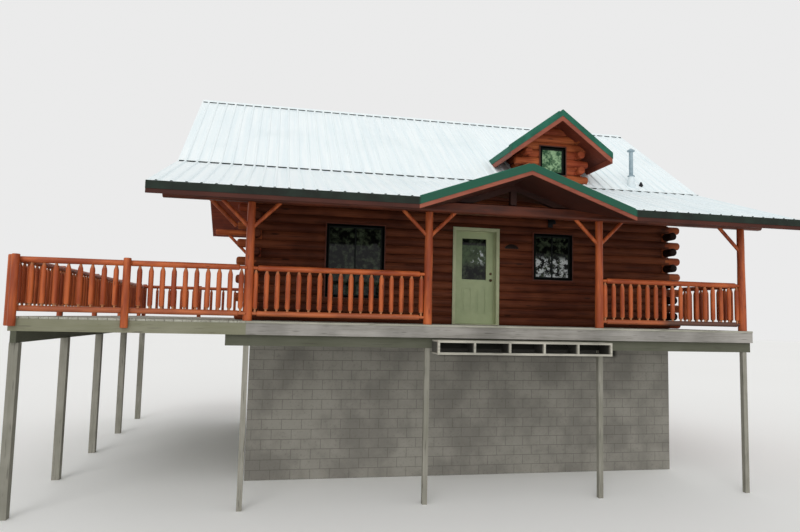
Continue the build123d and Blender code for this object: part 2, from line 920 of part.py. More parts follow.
with BuildPart() as porch_frame:
    heights = (rim_low, rim_top)
    block((platform_left, porch_right), (deck_front, platform_front), heights)
    bays = ceil((porch_right - platform_left) / joist_pitch)
    pitch = (porch_right - platform_left - rim_thickness) / bays
    for bay in range(bays):
        start = platform_left + bay * pitch + rim_thickness
        depth = (deck_front + rim_thickness, platform_front - rim_thickness)
        block((start, start + pitch - rim_thickness), depth, heights, Mode.SUBTRACT)
porch_frame.part.label = "porch_frame"

with BuildPart() as side_deck:
    block((deck_left, platform_left), (deck_front, deck_rear), (rim_top, 0))
side_deck.part.label = "side_deck"

with BuildPart() as side_deck_frame:
    heights = (rim_low, rim_top)
    block((deck_left, platform_left), (deck_front, deck_rear), heights)
    bays = ceil((deck_rear - deck_front) / joist_pitch)
    pitch = (deck_rear - deck_front - rim_thickness) / bays
    for bay in range(bays):
        start = deck_front + bay * pitch + rim_thickness
        width = (deck_left + rim_thickness, platform_left - rim_thickness)
        block(width, (start, start + pitch - rim_thickness), heights, Mode.SUBTRACT)
side_deck_frame.part.label = "side_deck_frame"

half_girder = girder_width / 2
side_girder_x = deck_left + side_girder_inset + half_girder
with BuildPart() as girders:
    block((-girder_lap, porch_right), (-half_girder, half_girder), (girder_low, rim_low))
    width = (side_girder_x - half_girder, side_girder_x + half_girder)
    block(width, (deck_front, deck_rear), (girder_low, rim_low))
girders.part.label = "girders"

with BuildPart() as support_posts:
    half = support_width / 2
    for place in range(support_count):
        y = place * support_pitch
        block((side_girder_x - half, side_girder_x + half), (y - half, y + half), (ground, girder_low))
    for x in post_stations:
        across = (x - half_girder, x + half_girder)
        block(across, (-half_girder, half_girder), (ground, girder_low))
support_posts.part.label = "support_posts"

# Porch posts, beam, braces and the truss in the entry gable
with BuildPart() as porch_posts:
    for x in post_stations:
        post_shape(x)
porch_posts.part.label = "porch_posts"

beam_left = roof_left + beam_end_inset
beam_right = roof_right - beam_end_inset
half_beam = beam_width / 2
with BuildPart() as porch_beam:
    block((beam_left, beam_right), (-half_beam, half_beam), (beam_bottom, beam_top))
    fillet(porch_beam.edges().filter_by(Axis.X).group_by(Axis.Z)[0], beam_rounding)
    under_roof()
porch_beam.part.label = "porch_beam"


def brace_outline(corner_x, corner_z, leg, side):
    """Diagonal in the corner between a post and the beam over it."""
    cut = brace_thickness * 2**0.5
    return [
        (corner_x, corner_z - leg),
        (corner_x + side * leg, corner_z),
        (corner_x + side * (leg - cut), corner_z),
        (corner_x, corner_z - leg + cut),
    ]


half_brace = brace_thickness / 2
with BuildPart() as porch_braces:
    for place, x in enumerate(post_stations):
        for side in (-1, 1):
            if place == len(post_stations) - 1 and side == 1:
                continue
            along_y(brace_outline(x, beam_bottom, brace_leg, side), -half_brace, half_brace)
    for x in post_stations:
        post_shape(x, Mode.SUBTRACT)
porch_braces.part.label = "porch_braces"

plate_low = plate_course * log_course
with BuildPart() as overhang_braces:
    for y in (wall_front + log_bulge + half_brace, wall_rear - log_bulge - half_brace):
        depth = (y - half_brace, y + half_brace)
        along_y(brace_outline(tail_left, plate_low, overhang_brace_leg, -1), *depth)
        along_y(brace_outline(tail_right, plate_low, plate_right - tail_right, 1), *depth)
overhang_braces.part.label = "overhang_braces"

truss_half = truss_depth / 2
with BuildPart() as entry_truss:
    reach = entry_reach + eave_y
    rise = reach * roof_slope
    chord = [(entry_x - reach, beam_top), (entry_x, beam_top + rise), (entry_x + reach, beam_top)]
    along_y(chord, -truss_half, truss_half)
    cut = truss_depth / roof_slope
    inner = [
        (entry_x - reach + cut, beam_top),
        (entry_x, beam_top + rise - truss_depth),
        (entry_x + reach - cut, beam_top),
    ]
    along_y(inner, -truss_half, truss_half, Mode.SUBTRACT)
    block(
        (entry_x - king_width / 2, entry_x + king_width / 2),
        (-truss_half, truss_half),
        (beam_top, beam_top + rise - truss_depth),
    )
entry_truss.part.label = "entry_truss"

# Railings
first, second, third_post, last = post_stations
with BuildPart() as porch_railing_left:
    railing((first, 0), (second, 0))
    post_shape(first, Mode.SUBTRACT)
    post_shape(second, Mode.SUBTRACT)
porch_railing_left.part.label = "porch_railing_left"

with BuildPart() as porch_railing_right:
    railing((third_post, 0), (last, 0))
    post_shape(third_post, Mode.SUBTRACT)
    post_shape(last, Mode.SUBTRACT)
porch_railing_right.part.label = "porch_railing_right"

with BuildPart() as porch_railing_end:
    railing((last, 0), (last, wall_front))
    post_shape(last, Mode.SUBTRACT)
porch_railing_end.part.label = "porch_railing_end"

front_rail_y = deck_front + rail_radius
side_rail_x = deck_left + rail_radius
rear_rail_y = deck_rear - rail_radius
with BuildPart() as deck_railing_front:
    railing((deck_left, front_rail_y), (first, front_rail_y))
    post_shape(first, Mode.SUBTRACT)
deck_railing_front.part.label = "deck_railing_front"

with BuildPart() as deck_railing_side:
    railing((side_rail_x, front_rail_y + rail_radius), (side_rail_x, rear_rail_y - rail_radius))
deck_railing_side.part.label = "deck_railing_side"

return_x = platform_left - rail_radius
with BuildPart() as deck_railing_rear:
    railing((deck_left, rear_rail_y), (platform_left, rear_rail_y))
    railing((return_x, wall_rear + tail_length), (return_x, rear_rail_y - rail_radius))
deck_railing_rear.part.label = "deck_railing_rear"


def rail_post(x, y, outward):
    """Log post with a flat back that lies against the rim and the rails."""
    plane = Plane((x - middle_x, y - middle_y, rail_post_low - ground), x_dir=outward, z_dir=(0, 0, 1))
    with BuildSketch(plane) as section:
        with Locations((rail_post_flat, 0)):
            RegularPolygon(rail_post_radius, round_sides)
        with Locations((-rail_post_radius, 0)):
            Rectangle(2 * rail_post_radius, 2 * rail_post_radius, mode=Mode.SUBTRACT)
    extrude(section.sketch, amount=rail_post_top - rail_post_low)


with BuildPart() as deck_rail_posts:
    corner_x = deck_left + rail_post_radius
    for x in (corner_x, deck_front_post_x):
        rail_post(x, deck_front, (0, -1, 0))
        rail_post(x, deck_rear, (0, 1, 0))
    for place in range(support_count):
        y = place * support_pitch
        rail_post(deck_left, y, (-1, 0, 0))
deck_rail_posts.part.label = "deck_rail_posts"

# Entry steps
with BuildPart() as entry_steps:
    depth = (step_front, -half_girder)
    lower_top = step_top - step_fall
    block((step_left, step_right), depth, (step_top - board_depth, step_top))
    block((step_left, step_right), depth, (lower_top - board_depth, lower_top))
    pitch = (step_right - step_left - board_depth) / (step_dividers - 1)
    for place in range(step_dividers):
        start = step_left + place * pitch
        block((start, start + board_depth), depth, (lower_top, step_top - board_depth))
entry_steps.part.label = "entry_steps"


# Flue, vent and lamp
def roof_height(y):
    return break_z + (y - break_y) * main_slope


def standing(x, y, steps):
    """Round piece that stands upright on the main roof."""
    stacked(Plane((x - middle_x, y - middle_y, roof_height(y) - ground)), steps, round_sides)


with BuildPart() as flue:
    collar_top = boot_height + collar_depth
    cap_top = flue_height + flue_cap_depth
    flue_steps = (
        (boot_radius, boot_radius, -boot_radius * main_slope, 0),
        (boot_radius, flue_radius, 0, boot_height),
        (collar_radius, flue_radius, boot_height, collar_top),
        (flue_radius, flue_radius, collar_top, flue_height),
        (flue_cap_radius, flue_cap_radius, flue_height, cap_top),
        (flue_cap_radius, flue_radius / 2, cap_top, cap_top + flue_cap_crown),
    )
    standing(flue_x, flue_y, flue_steps)
    over_roof(flue_x - collar_radius, flue_x + collar_radius)
flue.part.label = "flue"

with BuildPart() as roof_vent:
    vent_steps = (
        (vent_radius, vent_radius, -vent_radius * main_slope, 0),
        (vent_radius, vent_top_radius, 0, vent_height),
    )
    standing(vent_x, vent_y, vent_steps)
    over_roof(vent_x - vent_radius, vent_x + vent_radius)
roof_vent.part.label = "roof_vent"

with BuildPart() as wall_lamp:
    plate_face = wall_front - lamp_plate_depth
    half_plate = lamp_plate_width / 2
    half_height = lamp_plate_height / 2
    half_arm = lamp_arm_width / 2
    block(
        (lamp_x - half_plate, lamp_x + half_plate),
        (plate_face, wall_front),
        (lamp_z - half_height, lamp_z + half_height),
    )
    block(
        (lamp_x - half_arm, lamp_x + half_arm),
        (plate_face - lamp_arm, plate_face),
        (lamp_z - half_arm, lamp_z + half_arm),
    )
    lamp_foot = Plane((lamp_x - middle_x, plate_face - lamp_arm - middle_y, lamp_z - ground))
    stacked(lamp_foot, [(lamp_radius, lamp_top_radius, half_arm - lamp_height, half_arm)], lamp_sides)
wall_lamp.part.label = "wall_lamp"

sub_parts = [
    foundation, main_floor, front_wall_left, front_wall_right, front_wall_head, rear_wall,
    left_wall, right_wall, ridge_beam, main_roof_front, main_roof_rear, porch_roof_left,
    porch_roof_right, entry_roof, dormer_roof, main_roof_metal, porch_roof_metal,
    dormer_roof_metal, ridge_cap, eave_fascia, entry_fascia, rake_boards, eave_trim,
    rake_trim, dormer_front_wall, dormer_side_walls, dormer_fascia, dormer_trim,
    front_windows, dormer_window, side_windows, rear_windows, window_glass, door_frame,
    frame_hinges, door, door_glass, door_hardware, porch_deck, porch_frame, side_deck,
    side_deck_frame, girders, support_posts, porch_posts, porch_beam, porch_braces,
    overhang_braces, entry_truss, porch_railing_left, porch_railing_right,
    porch_railing_end, deck_railing_front, deck_railing_side, deck_railing_rear,
    deck_rail_posts, entry_steps, flue, roof_vent, wall_lamp,
]
for sub_part in sub_parts:
    export_step(sub_part.part, f"parts/{sub_part.part.label}.step")
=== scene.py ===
# %% [markdown]
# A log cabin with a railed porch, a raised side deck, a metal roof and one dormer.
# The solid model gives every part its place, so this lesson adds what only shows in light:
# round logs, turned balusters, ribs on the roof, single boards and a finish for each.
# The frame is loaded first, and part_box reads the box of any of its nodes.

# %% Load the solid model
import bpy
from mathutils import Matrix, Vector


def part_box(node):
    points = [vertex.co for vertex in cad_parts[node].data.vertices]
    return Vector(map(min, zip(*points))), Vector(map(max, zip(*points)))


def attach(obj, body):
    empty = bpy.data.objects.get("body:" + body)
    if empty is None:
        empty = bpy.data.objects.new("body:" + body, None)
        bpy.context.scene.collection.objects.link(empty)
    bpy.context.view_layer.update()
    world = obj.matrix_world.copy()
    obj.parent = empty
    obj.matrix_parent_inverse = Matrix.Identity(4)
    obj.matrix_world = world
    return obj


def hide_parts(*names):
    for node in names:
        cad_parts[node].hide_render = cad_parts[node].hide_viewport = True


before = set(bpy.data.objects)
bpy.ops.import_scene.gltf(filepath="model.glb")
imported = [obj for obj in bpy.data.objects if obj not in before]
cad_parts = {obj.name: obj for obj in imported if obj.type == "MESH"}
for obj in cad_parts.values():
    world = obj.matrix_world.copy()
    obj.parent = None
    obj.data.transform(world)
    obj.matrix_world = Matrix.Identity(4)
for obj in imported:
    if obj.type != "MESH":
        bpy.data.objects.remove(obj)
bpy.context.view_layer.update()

# %% [markdown]
# The cabin is measured from the foot of its first porch post: x to the right along the front,
# y to the back and z up, in metres. One small function turns those numbers into the frame's.

# %% Cabin coordinates
from math import asin, cos, pi, radians, sin

import bmesh
import bpy
from mathutils import Matrix, Vector, noise

UP = Vector((0, 0, 1))
RIGHT = Vector((1, 0, 0))
BACK = Vector((0, 1, 0))
POST_X, POST_Y, DECK = -3.2805, -4.5535, 3.2


def spot(x, y, z):
    return Vector((x + POST_X, y + POST_Y, z + DECK))


print("first post stands at", spot(0, 0, 0))

# %% [markdown]
# Shader maths reads better as arithmetic. Value wraps one socket, so that 1 - mask or
# grain * 0.4 adds the Math nodes by itself. Nodes makes any other node: the settings are set
# first, then the sockets get values or links. Finish is a material coloured in layers.

# %% Finishes written as expressions
class Value:
    """An output socket that can be used in arithmetic."""

    def __init__(self, nodes, socket):
        self.nodes = nodes
        self.socket = socket

    def maths(self, operation, *values):
        inputs = dict(enumerate(values))
        return self.nodes.node("ShaderNodeMath", {"operation": operation}, inputs)

    def __add__(self, other):
        return self.maths("ADD", self, other)

    def __sub__(self, other):
        return self.maths("SUBTRACT", self, other)

    def __rsub__(self, other):
        return self.maths("SUBTRACT", other, self)

    def __mul__(self, other):
        return self.maths("MULTIPLY", self, other)

    def __truediv__(self, other):
        return self.maths("DIVIDE", self, other)

    def __abs__(self):
        return self.maths("ABSOLUTE", self)

    def fraction(self):
        return self.maths("FRACT", self)

    def floor(self):
        return self.maths("FLOOR", self)

    def between(self, low, high):
        """0 below low, 1 above high and a smooth step between them."""
        settings = {"interpolation_type": "SMOOTHSTEP"}
        inputs = {"Value": self, "From Min": low, "From Max": high}
        return self.nodes.node("ShaderNodeMapRange", settings, inputs)

    def below(self, low, high):
        """1 below low, 0 above high and a smooth step between them."""
        return 1 - self.between(low, high)

    __radd__ = __add__
    __rmul__ = __mul__


class Nodes:
    """A node tree whose nodes are made and linked by one method."""

    def __init__(self, tree):
        self.tree = tree

    def node(self, kind, settings, inputs, output=0):
        made = self.tree.nodes.new(kind)
        for key, value in settings.items():
            setattr(made, key, value)
        for key, value in inputs.items():
            self.feed(made.inputs[key], value)
        return Value(self, made.outputs[output])

    def feed(self, socket, value):
        if isinstance(value, Value):
            self.tree.links.new(value.socket, socket)
        else:
            socket.default_value = value


class Finish(Nodes):
    """A material with its colour, roughness and bump."""

    def __init__(self, name, roughness=0.6, metallic=0.0, coat=0.0, shine=0.35):
        self.material = bpy.data.materials.new(name)
        self.material.use_nodes = True
        super().__init__(self.material.node_tree)
        self.sockets = self.tree.nodes["Principled BSDF"].inputs
        self.sockets["Roughness"].default_value = roughness
        self.sockets["Metallic"].default_value = metallic
        self.sockets["Coat Weight"].default_value = coat
        self.sockets["Coat Roughness"].default_value = 0.3
        self.sockets["Specular IOR Level"].default_value = shine
        self.position = self.node("ShaderNodeTexCoord", {}, {}, "Object")

    def axes(self):
        kind = "ShaderNodeSeparateXYZ"
        return [self.node(kind, {}, {"Vector": self.position}, axis) for axis in "XYZ"]

    def joined(self, x, y, z):
        return self.node("ShaderNodeCombineXYZ", {}, {"X": x, "Y": y, "Z": z})

    def noise(self, vector, detail=3.0, rough=0.55, scale=1.0):
        inputs = {"Vector": vector, "Scale": scale, "Detail": detail, "Roughness": rough}
        return self.node("ShaderNodeTexNoise", {}, inputs)

    def cloud(self, scale, detail=3.0, rough=0.55):
        """Noise that is the same size in all directions."""
        return self.noise(self.position, detail, rough, scale)

    def fibres(self, axis, fine, coarse, detail=6.0, rough=0.55):
        """Noise drawn out along an axis, as the grain of a board is."""
        scale = [fine] * 3
        scale["XYZ".index(axis)] = coarse
        vector = self.node("ShaderNodeMapping", {}, {"Vector": self.position, "Scale": scale})
        return self.noise(vector, detail, rough)

    def random(self, number):
        """One tone from 0 to 1 for each whole number."""
        inputs = {"W": number + 0.5}
        return self.node("ShaderNodeTexWhiteNoise", {"noise_dimensions": "1D"}, inputs)

    def spots(self, vector, scale=1.0):
        """Distance to the nearest of some scattered points."""
        return self.node("ShaderNodeTexVoronoi", {"feature": "F1"}, {"Vector": vector, "Scale": scale})

    def blend(self, mask, first, second):
        """Mix of two tones, each from a socket or as on a screen, from 0 to 255."""
        first, second = (c if isinstance(c, Value) else paint(*c) for c in (first, second))
        inputs = {0: mask, 6: first, 7: second}
        return self.node("ShaderNodeMix", {"data_type": "RGBA"}, inputs, 2)

    def tones(self, mask, first, second):
        self.top = self.blend(mask, first, second)
        self.feed(self.sockets["Base Color"], self.top)

    def layer(self, mask, tone):
        """Lay one more tone over the colour, where the mask is not 0."""
        self.tones(mask, self.top, tone)

    def rough(self, value):
        self.feed(self.sockets["Roughness"], value)

    def bump(self, height, strength, distance):
        inputs = {"Height": height, "Strength": strength, "Distance": distance}
        self.feed(self.sockets["Normal"], self.node("ShaderNodeBump", {}, inputs))


def paint(red, green, blue):
    """Screen colour from 0 to 255 as the linear colour that a socket takes."""
    linear = [(((c / 255) + 0.055) / 1.055) ** 2.4 if c > 10 else c / 3295 for c in (red, green, blue)]
    return (*linear, 1)


print("the pale roof is", paint(226, 238, 240))

# %% [markdown]
# The wall logs were stained a red brown, which went on unevenly: each course took its own
# tone, the grain runs along the log, knots stay dark, and dust and painted shade darken the joints.
# x + y serves as the distance along both the long and the side walls, because each wall
# stands square to the other, so one finish does them all. The course number is z in logs.
# Two darker copies of the stain carry painted shade: one for the front wall under the porch,
# its left porch tails and the ridge beam, and a near-black one for the right porch tails.

# %% Stained wall logs
COURSE = 0.185


def stained_logs(name, dark, middle, light):
    finish = Finish(name, shine=0.15)
    x, y, z = finish.axes()
    along = x + y
    row = (z - DECK) / COURSE
    course = row.floor()
    grain = finish.noise(finish.joined(along * 1.3, z * 3, z * 34), 6.0, 0.65)
    cloud = finish.noise(finish.joined(along * 0.9, course * 7.3, z))
    knots = finish.spots(finish.joined(along * 1.1, course * 3.7, z * 5.5))
    knot = knots.below(0.05, 0.14)
    joint = abs(row.fraction() - 0.5).between(0.43, 0.5)
    patch = finish.cloud(0.8)
    finish.tones(cloud.between(0.3, 0.7), middle, light)
    finish.layer(patch.between(0.5, 0.75) * 0.5, dark)
    finish.layer(grain.between(0.42, 0.72) * 0.75, dark)
    finish.layer(finish.random(course) * 0.35, dark)
    finish.layer(knot * 0.8, (42, 18, 12))
    # Dust and painted shade darken the grooves between the logs
    finish.layer(joint * 0.5, (34, 15, 10))
    finish.rough(0.5 + grain * 0.25)
    finish.bump(grain - knot * 0.6, 0.35, 0.004)
    return finish.material


# The wall stain under the porch and the near-black stain are darker copies with painted shade
stain_with_painted_shade = stained_logs("stain_with_painted_shade", (50, 21, 12), (94, 45, 27), (128, 69, 42))
open_stain = stained_logs("open_stain", (92, 36, 23), (144, 62, 37), (194, 108, 60))
painted_shade_logs = stained_logs("painted_shade_logs", (18, 8, 6), (32, 15, 10), (46, 24, 16))
print("finishes", len(bpy.data.materials))

# %% [markdown]
# Posts, rails and braces are peeled logs in a brighter orange stain. Their grain runs up a
# post and along a rail, so the same recipe is made twice, with the grain stretched the
# other way. Peeling leaves long shallow facets, which a slow noise gives as tone and bump.

# %% Peeled logs
def peeled(name, upright, dark, light, tip_low=None):
    finish = Finish(name, coat=0.06, shine=0.25)
    x, y, z = finish.axes()
    if upright:
        fine = finish.joined(x * 26, y * 26, z * 1.6)
        slow = finish.joined(x * 7, y * 7, z * 1.1)
    else:
        fine = finish.joined((x + y) * 1.6, z * 26, z * 8)
        slow = finish.joined((x + y) * 1.1, z * 7, x - y)
    grain = finish.noise(fine, 5.0, 0.6)
    patch = finish.noise(slow)
    knot = finish.spots(slow, 1.7).below(0.05, 0.13)
    finish.tones(patch.between(0.35, 0.68), dark, light)
    finish.layer(grain.between(0.5, 0.75) * 0.45, (104, 42, 26))
    finish.layer(knot * 0.7, (70, 28, 18))
    if tip_low is not None:
        worn = z.between(tip_low, tip_low + 0.08) + z.below(3.405, 3.425)
        finish.layer(worn * 0.7, (176, 128, 88))
    if not upright:
        # Painted light: the lowest rails are lightened as if lit from the deck below them
        low = z.below(3.3, 3.5)
        finish.layer(low * 0.2, (188, 132, 96))
        # The bottom rail at the right end of the porch has lost its stain and gone dark
        bare = x.between(4.6, 4.9) * z.below(3.4, 3.45) * y.below(-4.45, -4.4)
        finish.layer(bare * (0.6 + 0.4 * patch), (58, 55, 52))
    finish.rough(0.36 + grain * 0.22)
    finish.bump(grain * 0.5 + patch, 0.3, 0.005)
    return finish.material


orange_dark = (142, 62, 30)
orange_light = (190, 98, 50)
peeled_up = peeled("peeled_upright", True, orange_dark, orange_light)
peeled_flat = peeled("peeled_level", False, orange_dark, orange_light)
peeled_tips = peeled("peeled_pointed", True, orange_dark, orange_light, 4.0)
# The porch beam takes the peeled recipe in far darker tones, which are painted shade
beam_stain_with_painted_shade = peeled("beam_stain_with_painted_shade", False, (66, 28, 15), (98, 46, 26))
print("finishes", len(bpy.data.materials))

# %% [markdown]
# Every new piece ends the same way: its faces are turned outwards, curved faces are shaded
# smooth up to a set angle, and the piece is told which body carries it and gets its material.
# Its place is in its mesh, so the object itself stays at the origin.
# Logs and boards are made one by one, softened by a narrow bevel and joined into their piece.

# %% Finishing a piece
SHARP = radians(38)


def added(name, data):
    obj = bpy.data.objects.new(name, data)
    bpy.context.scene.collection.objects.link(obj)
    return obj


def finish_piece(name, bm, material, slot, *replaces, body="house"):
    bmesh.ops.recalc_face_normals(bm, faces=bm.faces)
    mesh = bpy.data.meshes.new(name)
    bm.to_mesh(mesh)
    bm.free()
    mesh.shade_smooth()
    mesh.set_sharp_from_angle(angle=SHARP)
    mesh.materials.append(material)
    obj = added(name, mesh)
    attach(obj, body)
    if replaces:
        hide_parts(*replaces)
    print(name, len(mesh.polygons), "faces")


def trim(part, point, normal):
    """Cut away what lies beyond a plane and close the cut."""
    everything = part.verts[:] + part.edges[:] + part.faces[:]
    cut = bmesh.ops.bisect_plane(
        part, geom=everything, plane_co=point, plane_no=normal, clear_outer=True
    )["geom_cut"]
    rim = [item for item in cut if isinstance(item, bmesh.types.BMEdge)]
    if rim:
        bmesh.ops.edgeloop_fill(part, edges=rim)


def join(bm, part, cuts=()):
    """Trim one log or board and move its mesh into the piece that it belongs to."""
    for point, normal in cuts:
        trim(part, point, normal)
    scratch = bpy.data.meshes.new("scratch")
    part.to_mesh(scratch)
    part.free()
    bm.from_mesh(scratch)
    bpy.data.meshes.remove(scratch)


def soften(part, edges, offset, segments=2):
    bmesh.ops.bevel(
        part, geom=edges, offset=offset, segments=segments, profile=0.5, affect="EDGES", material=-1
    )


# %% [markdown]
# A wall log is flat inside and round outside. Its section starts as one vertex in the lower
# groove, which spin turns about the arc's centre up to the upper groove. Two more vertices
# make the flat back, the face between them is extruded along the wall, and a slow noise
# moves the round face a few millimetres, because no peeled log is quite straight.

# %% One wall log
BULGE = 0.04
DEPTH = 0.15


def extruded(part, run):
    grown = bmesh.ops.extrude_face_region(part, geom=part.faces[:])["geom"]
    moved = [item for item in grown if isinstance(item, bmesh.types.BMVert)]
    bmesh.ops.translate(part, vec=run, verts=moved)


def swept(part, run):
    """Close the section drawn so far and extrude it."""
    bmesh.ops.contextual_create(part, geom=part.verts[:])
    extruded(part, run)


def divided(part, run, spacing):
    """Cut the edges along a run into short lengths, so that noise can bend them."""
    along = run.normalized()
    lengthwise = [e for e in part.edges if abs((e.verts[1].co - e.verts[0].co).dot(along)) > 0.01]
    cuts = int(run.length / spacing)
    if cuts:
        bmesh.ops.subdivide_edges(part, edges=lengthwise, cuts=cuts, use_grid_fill=True)


def wall_log(wall, start, end, outward, cuts):
    run = end - start
    if run.length < 0.02:
        return
    part = bmesh.new()
    half = COURSE / 2
    radius = (half * half + BULGE * BULGE) / (2 * BULGE)
    centre = start + UP * half - outward * (radius - BULGE)
    groove = part.verts.new(start)
    turn = 2 * asin(half / radius)
    bmesh.ops.spin(part, geom=[groove], cent=centre, axis=outward.cross(UP), angle=turn, steps=10)
    part.verts.new(start + UP * COURSE - outward * DEPTH)
    part.verts.new(start - outward * DEPTH)
    swept(part, run)
    divided(part, run, 0.4)
    for vert in part.verts:
        if (vert.co - start).dot(outward) > -0.01:
            wave = 0.5 + 0.5 * noise.noise(vert.co * 1.4)
            vert.co -= outward * 0.007 * wave
    join(wall, part, cuts)


# %% [markdown]
# Beyond the corner a log is left round. Its tail is a cylinder with a bevelled end, and a
# few millimetres of noise again keep one tail from being the copy of the next.

# %% The round tail of a log
def pole(bm, start, end, radius, far_radius=None, sides=20, rounding=0.0, wave=0.003, cuts=()):
    part = bmesh.new()
    run = end - start
    turned = run.to_track_quat("Z", "Y").to_matrix().to_4x4()
    bmesh.ops.create_cone(
        part,
        cap_ends=True,
        segments=sides,
        radius1=radius,
        radius2=radius if far_radius is None else far_radius,
        depth=run.length,
        matrix=Matrix.Translation((start + end) / 2) @ turned,
    )
    divided(part, run, 0.25)
    if rounding:
        rims = {edge for face in part.faces if len(face.verts) > 4 for edge in face.edges}
        soften(part, list(rims), rounding, 4)
    along = run.normalized()
    for vert in part.verts:
        axis_point = start + along * (vert.co - start).dot(along)
        out = vert.co - axis_point
        if out.length > 0.001:
            vert.co -= out.normalized() * wave * (1 + noise.noise(vert.co * 2.3))
    join(bm, part, cuts)


# %% [markdown]
# A wall is its logs, course by course. Where a window cuts a course, the log stops each
# side of it, and a log that is only partly cut keeps the strip above or below the hole.
# Even courses of the long walls run past the corner and odd courses of the side walls do,
# which is how such walls lock together.

# %% Courses of logs
def log_course(wall, at, outward, low, first, last, openings, cuts):
    for left, right, sill, head in openings:
        if sill >= low + COURSE or head <= low:
            continue
        wall_log(wall, at(first, low), at(left, low), outward, cuts)
        if sill > low:
            wall_log(wall, at(left, low), at(right, low), outward, cuts + [(at(left, sill), UP)])
        if head < low + COURSE:
            wall_log(wall, at(left, low), at(right, low), outward, cuts + [(at(left, head), -UP)])
        first = right
    wall_log(wall, at(first, low), at(last, low), outward, cuts)


def tail(wall, at, outward, low, start, end, cuts, rounding=0.03):
    inward = outward * (BULGE - COURSE / 2)
    middle = low + COURSE / 2
    ends = (at(start, middle) + inward, at(end, middle) + inward)
    pole(wall, *ends, COURSE / 2, rounding=rounding, cuts=cuts)


# %% [markdown]
# The front and rear walls are 19 courses high, and the roof's underside trims the top ones.
# Course 14 is the plate: it runs out under the overhang at both ends and carries it.
# The roof is given here by its slopes, the line where porch and main roof meet, and the ridge.

# %% Front and rear walls
PORCH_SLOPE, MAIN_SLOPE, DORMER_SLOPE = 0.3522, 0.7078, 0.74
PORCH_NORMAL = Vector((0, -PORCH_SLOPE, 1)).normalized()
FRONT_NORMAL = Vector((0, -MAIN_SLOPE, 1)).normalized()
REAR_NORMAL = Vector((0, MAIN_SLOPE, 1)).normalized()
BREAK_Y, BREAK_Z = 2.02, 3.208
RIDGE_Y, RIDGE_Z = 5.5535, 5.709
ROOF_DEPTH = 0.2
FRONT_Y, REAR_Y, LEFT_X, RIGHT_X = 1.947, 9.16, -0.01, 9.46
SILL, HEAD = 1.04, 2.06
TAILS_TOP = 2.9
PLATE = 14
front_opening = (4.25, 5.266, 0.0, 2.102)
front_windows = [(1.48, 2.7, 0.52, 2.05), front_opening, (6.11, 7.02, SILL, HEAD)]
rear_windows = [(middle - 0.455, middle + 0.455, SILL, HEAD) for middle in (2.4325, 4.725, 7.0175)]
porch_under = [(spot(0, BREAK_Y, BREAK_Z - ROOF_DEPTH), PORCH_NORMAL)]
main_under = [(spot(0, BREAK_Y, BREAK_Z - ROOF_DEPTH), FRONT_NORMAL)]
rear_under = [(spot(0, RIDGE_Y, RIDGE_Z - ROOF_DEPTH), REAR_NORMAL)]


def long_wall(side, flat_y, outward, openings, cuts, material, *replaced):
    def at(x, z):
        return spot(x, flat_y, z)

    wall = bmesh.new()
    tails = bmesh.new()
    for course in range(19):
        low = course * COURSE
        ends = (-0.05, 9.5) if course % 2 == 0 else (0.14, 9.31)
        log_course(wall, at, outward, low, *ends, openings, cuts)
        if course % 2 == 0 and low < TAILS_TOP:
            left_tip, right_tip = (-1.458, 10.238) if course == PLATE else (-0.35, 9.8)
            tail(tails, at, outward, low, 0.1, left_tip, cuts, 0.05)
            tail(tails, at, outward, low, 9.35, right_tip, cuts, 0.05)
    finish_piece(side + "_logs", wall, material, "log_stain", *replaced)
    finish_piece(side + "_tails", tails, open_stain, "log_stain")


front_nodes = ("front_wall_left", "front_wall_right", "front_wall_head")
# The front wall under the porch takes the stain with painted shade
long_wall("front", FRONT_Y, -BACK, front_windows, porch_under, stain_with_painted_shade, *front_nodes)
long_wall("rear", REAR_Y, BACK, rear_windows, rear_under, open_stain, "rear_wall")

# %% [markdown]
# The side walls climb to the ridge. Both roof slopes trim them, and the ridge beam passes
# through a slot that is given as one more opening.

# %% Side walls
side_openings = [
    (3.94633, 4.85633, SILL, HEAD),
    (5.0985, 6.0085, 3.45, 4.35),
    (6.25067, 7.16067, SILL, HEAD),
]
beam_slot = (5.4635, 5.6435, 5.205, 5.9)


def side_wall(side, flat_x, outward, end_finish):
    def at(y, z):
        return spot(flat_x, y, z)

    wall = bmesh.new()
    porch_tails = bmesh.new()
    for course in range(30):
        low = course * COURSE
        ends = (1.907, 9.2) if course % 2 else (2.097, 9.01)
        log_course(wall, at, outward, low, *ends, side_openings + [beam_slot], main_under + rear_under)
        if course % 2 and low < TAILS_TOP:
            tail(porch_tails, at, outward, low, 2.05, 1.607, porch_under)
            tail(wall, at, outward, low, 9.05, 9.5, rear_under)
    finish_piece(side + "_logs", wall, open_stain, "log_stain", side + "_wall")
    finish_piece(side + "_porch_tails", porch_tails, end_finish, "log_stain")


# Porch tails: painted shade on the left, deeper painted shade on the right
side_wall("left", LEFT_X, -RIGHT, stain_with_painted_shade)
side_wall("right", RIGHT_X, RIGHT, painted_shade_logs)

# %% [markdown]
# The dormer is built of the same logs, in courses that go on from the wall below. Its own
# roof trims the top and the main roof trims the foot.

# %% Dormer walls
DORMER_X, DORMER_Y, DORMER_Z = 6.65, 2.14, 4.87
DORMER_HALF = 0.7


def side_normal(side, slope):
    """Normal of a gable's slope, for its left side -1 and for its right side 1."""
    return Vector((side * slope, 0, 1)).normalized()


under_crown = spot(DORMER_X, 0, DORMER_Z - 0.15)
dormer_under = [(under_crown, side_normal(side, DORMER_SLOPE)) for side in (1, -1)]
over_main = [(spot(0, BREAK_Y, BREAK_Z), -FRONT_NORMAL)]
dormer_cuts = dormer_under + over_main
dormer_window = [(6.345, 6.955, 3.5, 4.14)]


